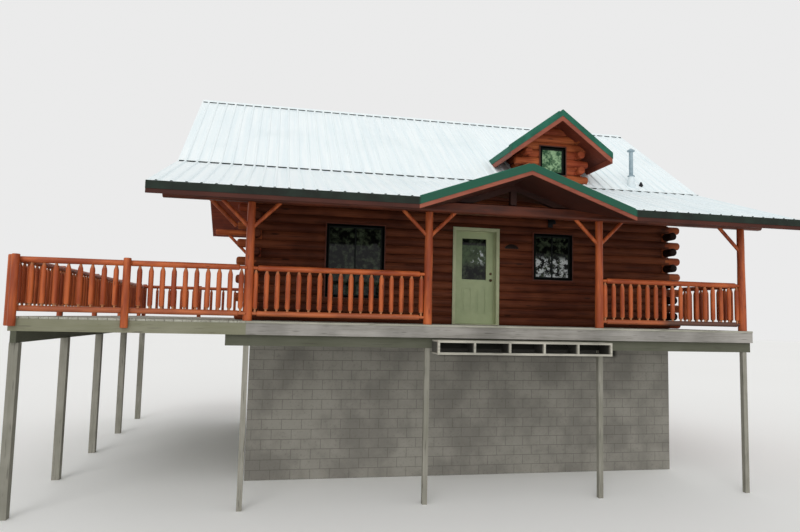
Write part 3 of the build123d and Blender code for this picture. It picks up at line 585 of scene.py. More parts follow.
def dormer_walls():
    wall = bmesh.new()

    def front(x, z):
        return spot(x, DORMER_Y, z)

    for course in range(18, 26):
        low = course * COURSE
        across = (6.1, 7.2) if course % 2 else (5.91, 7.39)
        log_course(wall, front, -BACK, low, *across, dormer_window, dormer_cuts)
        if course % 2 == 0:
            tail(wall, front, -BACK, low, 6.06, 5.75, dormer_under)
            tail(wall, front, -BACK, low, 7.24, 7.55, dormer_under)
        for outward in (-RIGHT, RIGHT):

            def side(y, z, flat_x=DORMER_X + DORMER_HALF * outward.x):
                return spot(flat_x, y, z)

            start = 2.1 if course % 2 else 2.29
            wall_log(wall, side(start, low), side(4.36, low), outward, dormer_cuts)
            if course % 2:
                tail(wall, side, outward, low, 2.25, 1.94, dormer_under)
    nodes = ("dormer_front_wall", "dormer_side_walls")
    finish_piece("dormer_logs", wall, open_stain, "log_stain", *nodes)


dormer_walls()

# %% [markdown]
# A porch post is a peeled log that tapers to its beam. The rail posts of the side deck are
# logs with one side sawn flat, so that they bolt against the rim: a plane cuts them.

# %% Posts
POSTS = (0, 3.215, 6.646, 9.82)
BEAM_Z = 2.08
posts = bmesh.new()
for x in POSTS:
    pole(posts, spot(x, 0, 0), spot(x, 0, BEAM_Z), 0.086, 0.074, sides=28, wave=0.004)
finish_piece("post_logs", posts, peeled_up, "peeled_log", "porch_posts")

rail_posts = bmesh.new()


def rail_post(x, y, outward):
    foot = spot(x, y, -0.16) + outward * 0.045
    back = [(spot(x, y, 0), -outward)]
    pole(rail_posts, foot, foot + UP * 1.16, 0.065, rounding=0.015, cuts=back)


for x in (-3.645, -1.96):
    rail_post(x, -0.12, -BACK)
    rail_post(x, 9.95, BACK)
for place in range(5):
    rail_post(-3.71, place * 2.46, -RIGHT)
finish_piece("rail_post_logs", rail_posts, peeled_up, "peeled_log", "deck_rail_posts")

# %% [markdown]
# Each baluster is turned: a thin tenon in the bottom rail, a shoulder, a straight body and
# a pointed tip. Its profile is a short chain of vertices beside the axis, and spin makes
# the round from it. There are about 140, so the round has ten sides only.

# %% Balusters and rails
PROFILE = (
    (0.0, 0.14), (0.021, 0.14), (0.021, 0.2), (0.038, 0.212), (0.044, 0.24),
    (0.044, 0.775), (0.041, 0.805), (0.016, 0.885), (0.0, 0.9),
)


def turned(bm, foot, profile, sides, girth=1.0):
    """Profile of radius and height, spun round an upright axis."""
    part = bmesh.new()
    points = [part.verts.new(foot + RIGHT * radius * girth + UP * height) for radius, height in profile]
    for pair in zip(points, points[1:]):
        part.edges.new(pair)
    drawn = points + part.edges[:]
    bmesh.ops.spin(part, geom=drawn, cent=foot, axis=UP, angle=2 * pi, steps=sides, use_merge=True)
    bmesh.ops.remove_doubles(part, verts=part.verts, dist=0.0005)
    join(bm, part)


def rail(bm, start, end, radius, shoulders):
    """One rail; between posts it has shoulders, and thin tenons that enter the posts."""
    tenon = (end - start).normalized() * 0.12
    first = start + tenon * shoulders[0]
    last = end - tenon * shoulders[1]
    pole(bm, first, last, radius, sides=16, rounding=0.024, wave=0.002)
    if any(shoulders):
        pole(bm, start, end, 0.03, sides=12, wave=0.001)


def railing(rails, balusters, start, end, shoulders):
    run = end - start
    count = round(run.length / 0.188)
    for place in range(count):
        foot = start + run * ((place + 0.5) / count)
        girth = 0.97 + 0.06 * noise.noise(foot * 5)
        turned(balusters, foot, PROFILE, 10, girth)
    for height, radius in ((0.127, 0.05), (0.92, 0.052)):
        rail(rails, start + UP * height, end + UP * height, radius, shoulders)


def railings(name, lines, replaced):
    rails = bmesh.new()
    balusters = bmesh.new()
    for start, end, shoulders in lines:
        railing(rails, balusters, spot(*start, 0), spot(*end, 0), shoulders)
    finish_piece(name + "_rails", rails, peeled_flat, "peeled_log", *replaced)
    finish_piece(name + "_balusters", balusters, peeled_tips, "peeled_log")


porch_lines = [
    ((0.03, 0), (3.18, 0), (True, True)),
    ((6.68, 0), (9.79, 0), (True, True)),
    ((9.82, 0.03), (9.82, 1.907), (True, False)),
]
railings("porch", porch_lines, ("porch_railing_left", "porch_railing_right", "porch_railing_end"))
deck_lines = [
    ((-3.71, -0.07), (-0.03, -0.07), (False, True)),
    ((-3.66, -0.02), (-3.66, 9.85), (False, False)),
    ((-3.71, 9.9), (-0.01, 9.9), (False, False)),
    ((-0.06, 9.5), (-0.06, 9.85), (False, False)),
]
railings("deck", deck_lines, ("deck_railing_front", "deck_railing_side", "deck_railing_rear"))

# %% [markdown]
# The decks are bare boards gone grey. Each board is a bar with its edges broken by a small
# bevel, and a gap is left between it and the next for the rain. Grain follows the boards,
# so the finish takes the axis that they run along.

# %% Weathered boards
silver = (134, 131, 126)
bleached = (166, 162, 156)


def weathered(name, axis, tones=(silver, bleached), pitch=None, stain=0.0, tone=None, shade=None):
    finish = Finish(name, roughness=0.85)
    x, y, z = finish.axes()
    grain = finish.fibres(axis, 26, 1.2, rough=0.68)
    patch = finish.cloud(1.1)
    crack = finish.fibres(axis, 49.4, 2.28, 2.0).between(0.62, 0.7)
    finish.tones(patch.between(0.3, 0.7), *tones)
    finish.layer(grain.between(0.4, 0.75) * 0.6, (112, 110, 100))
    if stain:
        finish.layer(stain, tone)
    if pitch:
        across = y if axis == "X" else x
        own = finish.random((across / pitch).floor())
        finish.layer(own * 0.3, (128, 122, 108))
    # Painted shade, where a shade mask is given: in the step openings and behind them
    if shade:
        finish.layer(shade(x, y, z) * 0.85, (24, 23, 20))
    finish.layer(crack * 0.6, (66, 62, 55))
    finish.bump(grain - crack, 0.4, 0.004)
    return finish.material


# Painted shade in the openings between the treads of the steps
def painted_shade_in_steps(x, y, z):
    return y.between(-5.01, -4.93) * z.between(2.7, 2.715) * z.below(2.895, 2.91)


# Painted shade on the girders where they show through the steps
def painted_shade_behind_steps(x, y, z):
    return abs(x - 1.6945).below(1.62, 1.7) * z.below(2.9, 2.93)


walked = ((166, 166, 152), (192, 191, 178))
edges = ((154, 151, 140), (188, 184, 171))
board_x = weathered("boards_along_front", "X", walked, 0.1489)
board_y = weathered("boards_along_side", "Y", walked, 0.148)
grey_x = weathered("weathered_along_front", "X")
step_wood = weathered("weathered_steps", "X", edges, shade=painted_shade_in_steps)
grey_z = weathered("weathered_upright", "Z", stain=0.35, tone=(122, 122, 98))
# Girders: green moss, made darker by painted shade in their recess under the rim
mossy_and_shaded_x = weathered("weathered_mossy_shaded", "X", stain=0.85, tone=(70, 73, 54), shade=painted_shade_behind_steps)
side_rim = weathered("weathered_side", "X", stain=0.6, tone=(120, 121, 86))
print("finishes", len(bpy.data.materials))


def bar(bm, start, end, corners, edge=0.0, cuts=()):
    """Convex section, given by its corners round the start, carried to the end."""
    part = bmesh.new()
    for corner in corners:
        part.verts.new(start + corner)
    swept(part, end - start)
    if edge:
        soften(part, part.edges[:], edge)
    join(bm, part, cuts)


def section(first, second, a, b):
    """Corners of a rectangle from a to b along two directions."""
    return [first * u + second * v for u, v in ((a[0], b[0]), (a[1], b[0]), (a[1], b[1]), (a[0], b[1]))]


GAP = 0.003
porch_boards = bmesh.new()
for row in range(14):
    low = -0.137 + row * 2.084 / 14
    joint = 3.9 + 2.44 * (row % 2)
    drop = 0.0015 * (1 + noise.noise(Vector((row * 3.1, 0, 0))))
    corners = section(BACK, UP, (low + GAP, low + 0.1446), (-0.038, -drop))
    bar(porch_boards, spot(-0.01, 0, 0), spot(joint, 0, 0), corners, 0.004)
    bar(porch_boards, spot(joint + GAP, 0, 0), spot(9.95, 0, 0), corners, 0.004)
finish_piece("porch_boards", porch_boards, board_x, "weathered_board", "porch_deck")

deck_boards = bmesh.new()
for row in range(25):
    low = -3.71 + row * 3.7 / 25
    joint = 2.98 + 3.72 * (row % 2)
    drop = 0.0015 * (1 + noise.noise(Vector((row * 2.7, 5, 0))))
    corners = section(RIGHT, UP, (low + GAP, low + 0.145), (-0.038, -drop))
    bar(deck_boards, spot(0, -0.12, 0), spot(0, joint, 0), corners, 0.004)
    bar(deck_boards, spot(0, joint + GAP, 0), spot(0, 9.95, 0), corners, 0.004)
finish_piece("deck_boards", deck_boards, board_y, "weathered_board", "side_deck")

# %% [markdown]
# The roof is pale painted sheet with a rib about every nine inches. The solid model has the
# sheet, and the ribs go on it as trapezoid bars that stop at the valleys, at the dormer and
# below the ridge cap. A faint streak down the slope and two shallow swages between the ribs
# come from the finish.

# %% Roof sheet and ribs
PITCH = 0.2286
LEFT_END, RIGHT_END = -1.568, 10.348
EAVE_Y = -0.9434
GABLE_X, GABLE_Z, VALLEY = 4.85, 2.89, 1.117
CAP_FRONT, CAP_REAR = 5.4035, 5.7035


def sheet_metal(name, across):
    finish = Finish(name)
    x, y, z = finish.axes()
    line = x if across == "X" else y
    streak = finish.noise(finish.joined(line * 9, z * 0.7, 0.0), 4.0)
    cloud = finish.cloud(0.7)
    finish.tones(streak.between(0.3, 0.7), (232, 243, 246), (243, 250, 251))
    finish.layer(cloud.between(0.5, 0.75) * 0.3, (218, 230, 232))
    finish.rough(0.3 + streak * 0.2)
    swage = abs((line / PITCH).fraction() - 0.5).between(0.14, 0.2)
    finish.bump(swage, 0.25, 0.004)
    return finish.material


metal_x = sheet_metal("roof_sheet", "X")
metal_y = sheet_metal("gable_sheet", "Y")
RIB = ((-0.034, 0.0), (-0.014, 0.025), (0.014, 0.025), (0.034, 0.0))


def rib(bm, start, end, across, normal):
    bar(bm, start, end, [across * u + normal * v for u, v in RIB])


def roof_z(y, slope=MAIN_SLOPE):
    """Height of the front roof, which is steep behind the break and shallow before it."""
    return BREAK_Z + (y - BREAK_Y) * slope


ribs = bmesh.new()
rib_end_shades = bmesh.new()
for place in range(52):
    x = LEFT_END + 0.13 + place * PITCH
    valley = VALLEY - abs(x - GABLE_X)
    front = max(EAVE_Y, valley)
    foot = spot(x, front, roof_z(front, PORCH_SLOPE))
    rib(ribs, foot, spot(x, BREAK_Y, BREAK_Z), RIGHT, PORCH_NORMAL)
    if front > valley:
        # Painted shade: a dark face closes the open end of each rib at the eave
        end_shade = [RIGHT * u + PORCH_NORMAL * v * 0.96 for u, v in RIB]
        bar(rib_end_shades, foot, foot - BACK * 0.0012, end_shade)
    beside = abs(x - DORMER_X)
    low = BREAK_Y
    if beside < DORMER_HALF + BULGE:
        low += (DORMER_Z - beside * DORMER_SLOPE - BREAK_Z) / MAIN_SLOPE
    rib(ribs, spot(x, low, roof_z(low)), spot(x, CAP_FRONT, roof_z(CAP_FRONT)), RIGHT, FRONT_NORMAL)
    rib(ribs, spot(x, CAP_REAR, roof_z(CAP_FRONT)), spot(x, 9.682, 2.787), RIGHT, REAR_NORMAL)
finish_piece("roof_ribs", ribs, metal_x, "roof_metal")


def gable_rib(bm, middle, top, slope, y, reach):
    """A rib down each side of a gable, from its crown at middle and top."""
    for side in (-1, 1):
        start = spot(middle + side * 0.03, y, top - 0.03 * slope)
        end = spot(middle + side * reach, y, top - reach * slope)
        rib(bm, start, end, BACK, side_normal(side, slope))


gable_ribs = bmesh.new()
gable_caps = bmesh.new()
for place in range(9):
    y = -0.9 + place * PITCH
    gable_rib(gable_ribs if place else gable_caps, GABLE_X, GABLE_Z, PORCH_SLOPE, y, VALLEY - y)
for place in range(12):
    y = 1.69 + place * PITCH
    reach = 1.222
    if y > BREAK_Y:
        reach = min(reach, (DORMER_Z - roof_z(y)) / DORMER_SLOPE)
    if reach >= 0.1:
        gable_rib(gable_ribs if place else gable_caps, DORMER_X, DORMER_Z, DORMER_SLOPE, y, reach)
finish_piece("gable_ribs", gable_ribs, metal_y, "roof_metal")

# %% [markdown]
# Where the steep roof meets the porch roof, and under the ridge cap, the open ends of the
# ribs are closed with dark foam under a thin flashing. Between the ribs that foam shows as
# a row of dark dashes, which the photograph shows clearly.

# %% Flashings and closures
foam = Finish("closure_foam", roughness=0.9)
foam_cloud = foam.cloud(9.0)
foam.tones(foam_cloud, (22, 30, 28), (44, 54, 52))
foam.bump(foam_cloud, 0.3, 0.004)

# The dark faces at the rib ends are painted shade inside the hollow ribs
finish_piece("rib_end_shades", rib_end_shades, foam.material, "dark_metal")
closures = bmesh.new()
flashings = bmesh.new()
left_end = spot(LEFT_END, 0, 0)
right_end = spot(RIGHT_END, 0, 0)


def closure_line(y, z, normal, height):
    down = RIGHT.cross(normal) if normal.y < 0 else normal.cross(RIGHT)
    at = BACK * y + UP * z
    strip = [at + corner for corner in section(down, normal, (0, 0.02), (0, height))]
    bar(closures, left_end, right_end, strip)
    top = normal * height
    back = at - down * 0.06 + top
    front = at + down * 0.03 + top
    bar(flashings, left_end, right_end, [back, front, front + normal * 0.002, back + normal * 0.004])


closure_line(2.0, roof_z(2.0, PORCH_SLOPE), PORCH_NORMAL, 0.026)
closure_line(CAP_FRONT, roof_z(CAP_FRONT), FRONT_NORMAL, 0.025)
closure_line(CAP_REAR, roof_z(CAP_FRONT), REAR_NORMAL, 0.025)
finish_piece("rib_closures", closures, foam.material, "dark_metal")

# The sheet also laps over the boards at the rakes, along the eaves and round the gables
LAP = (0, 0.002)
roof_points = ((-0.953, 2.1609), (BREAK_Y, BREAK_Z), (RIDGE_Y, RIDGE_Z), (9.683, 2.7861))
for first, second in zip(roof_points, roof_points[1:]):
    for rake in ((-1.601, LEFT_END), (RIGHT_END, 10.381)):
        bar(flashings, spot(0, *first), spot(0, *second), section(RIGHT, UP, rake, LAP))
EAVE_Z = 2.1725
eave_points = ((-1.593, EAVE_Z), (2.8129, EAVE_Z), (GABLE_X, GABLE_Z), (6.8871, EAVE_Z), (10.373, EAVE_Z))
for (x, z), (far_x, far_z) in zip(eave_points, eave_points[1:]):
    run = flashings if z == far_z else gable_caps
    bar(run, spot(x, 0, z), spot(far_x, 0, far_z), section(BACK, UP, (-0.951, -0.92), LAP))
crown = spot(DORMER_X, 0, DORMER_Z)
dormer_eaves = {side: spot(DORMER_X + side * 1.215, 0, 3.9709) for side in (-1, 1)}
for dormer_eave in dormer_eaves.values():
    bar(gable_caps, crown, dormer_eave, section(BACK, UP, (1.567, 1.6), LAP))
finish_piece("roof_flashings", flashings, metal_x, "roof_metal")

# %% [markdown]
# Roof boards, fascias and soffits are sawn boards in a redder stain. Their joints are shown
# by the finish, as narrow dark lines at each board's width, with the grain along the board.
# The soffits of the porch, the eave fascia and the entry truss take darker copies, which are
# painted shade.

# %% Red boards
def red_boards(name, first, second, axis="X", width=0.14, shift=0.0):
    """Boards of one width along an axis; the width None stands for a board without joints."""
    finish = Finish(name, coat=0.02, shine=0.2)
    x, y = finish.axes()[:2]
    across = y if axis == "X" else x
    grain = finish.fibres(axis, 22, 1.0, rough=0.62)
    patch = finish.cloud(1.6)
    finish.tones(patch.between(0.3, 0.7), first, second)
    finish.layer(grain.between(0.45, 0.75) * 0.45, (74, 34, 24))
    line = 0.0
    if width:
        line = abs(((across + shift) / width).fraction() - 0.5).between(0.455, 0.49)
    finish.layer(line * 0.8, (52, 22, 16))
    finish.rough(0.45 + grain * 0.25)
    finish.bump(grain * 0.3 - line, 0.4, 0.005)
    return finish.material


soffit_x = red_boards("soffit_boards", (112, 50, 33), (140, 68, 46))
# Soffits of the porch roofs: a darker copy, for painted shade
soffit_with_painted_shade = red_boards("soffit_with_painted_shade", (46, 21, 15), (64, 31, 22))
rake_y = red_boards("rake_boards_finish", (118, 62, 44), (146, 82, 60), "Y", 4.0, 1.0)
# Eave fascia: a darker copy of the gable boards, for painted shade
fascia_with_painted_shade = red_boards("fascia_boards_painted_shade", (60, 28, 20), (78, 38, 27), width=None)
gable_x = red_boards("gable_boards", (132, 70, 54), (156, 88, 69), width=None)
dormer_soffit = red_boards("dormer_soffit", (88, 38, 25), (116, 54, 36))
casing_x = red_boards("casing_boards", (88, 44, 31), (110, 58, 42), width=None)
# Entry truss: nearly black, for painted shade
truss_with_painted_shade = red_boards("truss_with_painted_shade", (36, 17, 12), (50, 25, 17), width=None)
print("finishes", len(bpy.data.materials))

# %% [markdown]
# The trim is folded sheet in dark green, a little chalky on top. The window frames are
# nearly black green, and the door is sage with a paler frame. Painted things differ mostly
# in how clean they are, so one recipe takes two tones and the tone of the dirt.

# %% Painted metal and painted wood
def painted(name, first, second, dirt, roughness=0.4, metallic=0.0):
    finish = Finish(name, roughness=roughness, metallic=metallic, shine=0.2)
    cloud = finish.cloud(3.0, 5.0)
    speck = finish.cloud(42.0)
    finish.tones(cloud.between(0.32, 0.68), first, second)
    finish.layer(speck.between(0.6, 0.78) * 0.4, dirt)
    finish.rough(roughness - 0.06 + cloud * 0.16)
    finish.bump(speck, 0.1, 0.002)
    return finish.material


trim_dark = painted("trim_dark_green", (26, 34, 27), (35, 46, 37), (48, 56, 47), 0.6)
trim_green = painted("trim_green", (28, 84, 66), (40, 104, 84), (64, 104, 88), 0.6)
frame_dark = painted("frame_dark", (14, 19, 17), (22, 28, 25), (40, 44, 39), 0.6)
door_sage = painted("door_sage", (166, 178, 138), (178, 189, 148), (140, 150, 116))
trim_sage = painted("door_frame_sage", (178, 184, 148), (192, 198, 160), (146, 150, 120))
flue_grey = painted("flue_steel", (128, 148, 158), (158, 176, 184), (96, 104, 104), 0.42)
boot_white = painted("flue_boot", (214, 226, 230), (232, 240, 242), (180, 190, 192), 0.5)
black_iron = painted("lamp_black", (22, 22, 24), (38, 38, 40), (58, 56, 54), 0.5, 0.3)
bronze = painted("dark_bronze", (62, 50, 36), (86, 70, 50), (48, 38, 28), 0.4, 0.7)
floor_wood = red_boards("floor_boards", (120, 76, 50), (146, 96, 64), width=0.12)
print("finishes", len(bpy.data.materials))

# %% [markdown]
# The foundation is laid in concrete blocks. The Brick texture draws them from x + y, the
# distance round the square plan, and z. A band of painted shade darkens the top of the front
# blocks under the porch, behind the steps. Seen from outside, glass is dark and smooth, with
# soft blotches of painted reflection. The dormer's pane has a painted reflection of green
# trees, the small window beside the door has painted pale glints, and the door's pane has a
# lighter band of painted reflection with painted glints.

# %% Blocks and glass
blocks = Finish("concrete_blocks", roughness=0.9)
bx, by, bz = blocks.axes()
bond = {"Vector": blocks.joined(bx + by, bz, 0.0), "Scale": 1.0, "Brick Width": 0.4}
bond.update({"Row Height": 0.2, "Mortar Size": 0.006, "Mortar Smooth": 0.3})
brick = blocks.node("ShaderNodeTexBrick", {"offset": 0.5}, bond, "Fac")
block_grit = blocks.cloud(22.0, 5.0, 0.7)
block_cloud = blocks.cloud(1.3)
blocks.tones(block_cloud.between(0.3, 0.7), (120, 117, 110), (146, 143, 134))
blocks.layer(block_grit.between(0.5, 0.8) * 0.5, (92, 89, 83))
blocks.layer(brick * 0.6, (84, 81, 75))
# Painted shade: a dark band along the top of the front blocks under the porch deck
porch_shade_band = bz.between(2.48, 2.58) * abs(bx - 2.77).below(2.02, 2.16) * by.below(-2, -1)
blocks.layer(porch_shade_band * 0.9, (22, 21, 18))
blocks.bump(block_grit * 0.4 - brick, 0.5, 0.006)

glass = Finish("window_glass_finish", roughness=0.05, shine=0.1)
# Painted reflection: soft blotches of the surroundings in the dark glass
reflection_mottle = glass.cloud(7.0, 6.0, 0.7)
gx, gy, gz = glass.axes()
glass.tones(reflection_mottle.between(0.44, 0.66), (8, 10, 9), (70, 80, 62))
# This noise draws the painted reflections of leaves below
leaves = glass.cloud(9.0, 6.0, 0.75)
painted_tree_reflection = glass.blend(leaves.between(0.42, 0.62), (54, 90, 62), (156, 190, 146))
in_front = gy.below(-1.5, -1)
in_dormer = gz.between(6.4, 6.7) * in_front
glass.layer(in_dormer * 0.92, painted_tree_reflection)
beside_door = gx.between(2.6, 2.9) * gx.below(5, 5.5) * gz.below(4.66, 4.8) * in_front
door_low, door_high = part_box("door_glass")
up = (gz - door_low[2]) * (1 / (door_high[2] - door_low[2]))
aside = (gx - door_low[0]) * (1 / (door_high[0] - door_low[0]))
at_door = aside.between(-0.1, 0) * aside.below(1, 1.1) * gy.below(0, 1)
# Painted reflection: a lighter band across the door's pane, with painted glints in it
painted_reflection_band = at_door * up.between(0.3, 0.5) * up.below(0.82, 0.86)
glass.layer(painted_reflection_band * (0.4 + 0.6 * leaves.between(0.4, 0.6)), (84, 104, 72))
painted_glints_on_door = painted_reflection_band * aside.between(0.3, 0.5) * up.below(0.68, 0.74) * leaves.between(0.53, 0.59)
glass.layer(painted_glints_on_door, (214, 220, 224))
# Painted glints on the small window beside the door
painted_glint = beside_door * leaves.between(0.49, 0.56)
glass.layer(painted_glint * 0.9, (216, 222, 222))
print("finishes", len(bpy.data.materials))

# %% [markdown]
# Each remaining node of the solid model keeps its shape and gets its finish here. The trim
# along the eaves is dark with painted shade, nearly black, and turns bright green only round
# the entry gable.

# %% Finishes of the solid nodes
eave = Finish("eave_green", shine=0.2)
ex, ey = eave.axes()[:2]
at_gable = abs(ex - 1.5695).below(2.0, 2.06) * ey.below(0, 1)
eave_cloud = eave.cloud(3.0, 5.0)
# The eave trim is darkened by painted shade, except round the entry gable
eave.tones(at_gable, (24, 29, 23), (32, 86, 67))
eave.layer(eave_cloud.between(0.3, 0.7) * 0.3, (48, 70, 58))
eave.bump(eave_cloud, 0.1, 0.002)
node_finishes = (
    (stain_with_painted_shade, "ridge_beam"),
    (truss_with_painted_shade, "entry_truss"),
    (beam_stain_with_painted_shade, "porch_beam"),
    (soffit_x, "main_roof_front", "main_roof_rear"),
    (soffit_with_painted_shade, "porch_roof_left", "porch_roof_right", "entry_roof"),
    (dormer_soffit, "dormer_roof"),
    (fascia_with_painted_shade, "eave_fascia"),
    (gable_x, "entry_fascia"),
    (rake_y, "rake_boards"),
    (metal_x, "main_roof_metal", "porch_roof_metal", "ridge_cap"),
    (metal_y, "dormer_roof_metal"),
    (eave.material, "eave_trim"),
    (trim_dark, "rake_trim"),
    (grey_x, "porch_frame"),
    (side_rim, "side_deck_frame"),
    (mossy_and_shaded_x, "girders"),
    (grey_z, "support_posts"),
    (step_wood, "entry_steps"),
    (floor_wood, "main_floor"),
    (blocks.material, "foundation"),
    (glass.material, "door_glass"),
    (door_sage, "door"),
    (bronze, "frame_hinges", "door_hardware"),
    (black_iron, "roof_vent"),
)
for material, *names in node_finishes:
    for name in names:
        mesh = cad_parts[name].data
        mesh.materials.clear()
        mesh.materials.append(material)
print("finishes on solid nodes", len(node_finishes))

# %% [markdown]
# Frames are rings. A grid of one face is inset by the ring's width, its middle is deleted
# and the ring is extruded, then a bevel softens the edges. A window is four such rings: the
# buck through the wall, its flange, a narrow red casing and the sash with pane and bar.

# %% Window frames
def frame_ring(bm, centre, wide, high, across, outward, width, rise, edge=0.002):
    part = bmesh.new()
    turn = Matrix((across * wide, UP * high, outward)).transposed().to_4x4()
    place = Matrix.Translation(centre) @ turn
    bmesh.ops.create_grid(part, x_segments=1, y_segments=1, size=0.5, matrix=place)
    middle = part.faces[:]
    bmesh.ops.inset_region(part, faces=middle, thickness=width, use_boundary=True, use_even_offset=True)
    bmesh.ops.delete(part, geom=middle, context="FACES")
    extruded(part, outward * rise)
    soften(part, part.edges[:], edge)
    join(bm, part)


BUCK = 0.03
SASH = 0.032
COVER = 0.025
trims = bmesh.new()
panes = bmesh.new()


def window(frames, centre, wide, high, across, outward, lights=2):
    """One window about the middle of its opening, on the crest of the logs."""
    crest = centre + outward * 0.001
    frame_ring(frames, centre - outward * 0.19, wide, high, across, outward, BUCK, 0.213)
    frame_ring(frames, crest, wide + 0.02, high + 0.02, across, outward, BUCK + 0.01, 0.022)
    frame_ring(trims, crest, wide + 0.07, high + 0.07, across, outward, COVER, 0.016)
    inside = (wide - 2 * BUCK, high - 2 * BUCK)
    frame_ring(frames, centre - outward * 0.08, *inside, across, outward, SASH, 0.04)
    reach = wide / 2 - BUCK - SASH + 0.005
    half = high / 2 - BUCK - SASH + 0.005
    sheet = section(across, outward, (-reach, reach), (-0.063, -0.057))
    bar(panes, centre - UP * half, centre + UP * half, sheet)
    if lights == 2:
        corners = section(across, outward, (-SASH / 2, SASH / 2), (-0.08, -0.04))
        bar(frames, centre - UP * half, centre + UP * half, corners, 0.002)


def windows(name, places, node):
    frames = bmesh.new()
    for place in places:
        window(frames, *place)
    finish_piece(name, frames, frame_dark, "window_frame", node)


def in_long_wall(openings, y, outward, lights=2):
    for left, right, sill, head in openings:
        centre = spot((left + right) / 2, y + BULGE * outward.y, (sill + head) / 2)
        yield centre, right - left, head - sill, RIGHT, outward, lights


def in_side_wall(openings, x, outward):
    for near, far, sill, head in openings:
        centre = spot(x + BULGE * outward.x, (near + far) / 2, (sill + head) / 2)
        yield centre, far - near, head - sill, BACK, outward, 2


porch_windows = [front_windows[0], front_windows[2]]
windows("front_window_frames", in_long_wall(porch_windows, FRONT_Y, -BACK), "front_windows")
windows("rear_window_frames", in_long_wall(rear_windows, REAR_Y, BACK), "rear_windows")
windows("dormer_window_frame", in_long_wall(dormer_window, DORMER_Y, -BACK, 1), "dormer_window")
side_places = [*in_side_wall(side_openings, LEFT_X, -RIGHT)]
side_places += in_side_wall(side_openings, RIGHT_X, RIGHT)
windows("side_window_frames", side_places, "side_windows")
finish_piece("window_trims", trims, casing_x, "red_board")
finish_piece("window_sheets", panes, glass.material, "glass", "window_glass")

# %% [markdown]
# The door stands in a frame of plain planks: two jambs, a head and a threshold as deep as
# the wall, with a stop inside and a narrow casing outside. The door's own panels get a
# raised moulding, which rides on the door and turns with it.

# %% Door frame and door mouldings
doorway = bmesh.new()
wall_deep, stop_deep, casing_deep = (1.884, 2.097), (2.017, 2.047), (1.884, 1.906)
planks = (
    ((4.25, 4.295), wall_deep, (0.0, 2.102)),
    ((5.221, 5.266), wall_deep, (0.0, 2.102)),
    ((4.295, 5.221), wall_deep, (2.057, 2.102)),
    ((4.295, 5.221), wall_deep, (0.0, 0.015)),
    ((4.295, 4.31), stop_deep, (0.015, 2.057)),
    ((5.206, 5.221), stop_deep, (0.015, 2.057)),
    ((4.31, 5.206), stop_deep, (2.042, 2.057)),
    ((4.225, 4.25), casing_deep, (0.0, 2.127)),
    ((5.266, 5.291), casing_deep, (0.0, 2.127)),
    ((4.25, 5.266), casing_deep, (2.102, 2.127)),
)
for wide, deep, high in planks:
    corners = section(RIGHT, BACK, wide, deep)
    bar(doorway, spot(0, 0, high[0]), spot(0, 0, high[1]), corners, 0.0015)
finish_piece("door_planks", doorway, trim_sage, "door_trim", "door_frame")

panels = bmesh.new()
for x in (4.5895, 4.9245):
    for face, outward in ((2.052, -BACK), (2.097, BACK)):
        centre = spot(x, face, 0.53) - outward * 0.001
        frame_ring(panels, centre, 0.225, 0.56, RIGHT, outward, 0.018, 0.004, 0.0015)
finish_piece("door_mouldings", panels, door_sage, "door_paint", body="door")

# %% [markdown]
# Braces are thin peeled poles let into the post and the beam. Under the overhang, stouter
# ones carry the plate log from the ends of the wall logs.

# %% Braces
INSET = 0.053


def brace(bm, x, y, top, leg, side, radius):
    """Pole at 45 degrees in the corner between an upright at x and what it carries."""
    foot = spot(x + side * 0.02, y, top - leg + INSET + 0.02)
    head = spot(x + side * (leg - INSET + 0.02), y, top + 0.02)
    pole(bm, foot, head, radius, sides=14, wave=0.002)


porch_braces = bmesh.new()
for x in POSTS:
    for side in (-1,) if x == POSTS[-1] else (-1, 1):
        brace(porch_braces, x, 0, BEAM_Z, 0.53, side, 0.038)
finish_piece("brace_poles", porch_braces, peeled_up, "peeled_log", "porch_braces")
overhang_braces = bmesh.new()
for y in (1.9845, 9.1225):
    brace(overhang_braces, -0.35, y, 2.59, 0.74, -1, 0.048)
brace(overhang_braces, 9.8, 9.1225, 2.59, 0.43, 1, 0.042)
finish_piece("overhang_poles", overhang_braces, peeled_up, "peeled_log", "overhang_braces")

# %% [markdown]
# The dormer's edge is a wide board with the folded green trim over its upper part. Each
# slope has its own length of both, cut upright at the ridge and at the eave, and the eaves
# have them too, cut where they run into the main roof.

# %% Dormer boards
BOARD_LOW, TRIM_LOW = -0.255, -0.145
edge_boards = bmesh.new()
edge_trim = bmesh.new()
for side, near in dormer_eaves.items():
    bar(edge_boards, crown, near, section(UP, BACK, (0.0, BOARD_LOW), (1.575, 1.6)))
    bar(edge_trim, crown, near, section(UP, BACK, (0.0, TRIM_LOW), (1.567, 1.575)))
    far = near + BACK * 3.1
    edge = section(UP, RIGHT, (-0.02, BOARD_LOW), (0.0, side * -0.025))
    bar(edge_boards, near + BACK * 1.6, far, edge, cuts=over_main)
    edge = section(UP, RIGHT, (0.0, TRIM_LOW), (0.0, side * 0.008))
    bar(edge_trim, near + BACK * 1.567, far, edge, cuts=over_main)
finish_piece("dormer_edge_boards", edge_boards, gable_x, "red_board", "dormer_fascia")
finish_piece("gable_caps", gable_caps, trim_green, "green_trim")
finish_piece("dormer_edge_trim", edge_trim, trim_green, "green_trim", "dormer_trim")

# %% [markdown]
# The flue is spun from one profile: a storm collar, the pipe and a small cap, on a flared
# boot in the roof's colour. The lamp by the door is a plate, an arm and a spun dome.

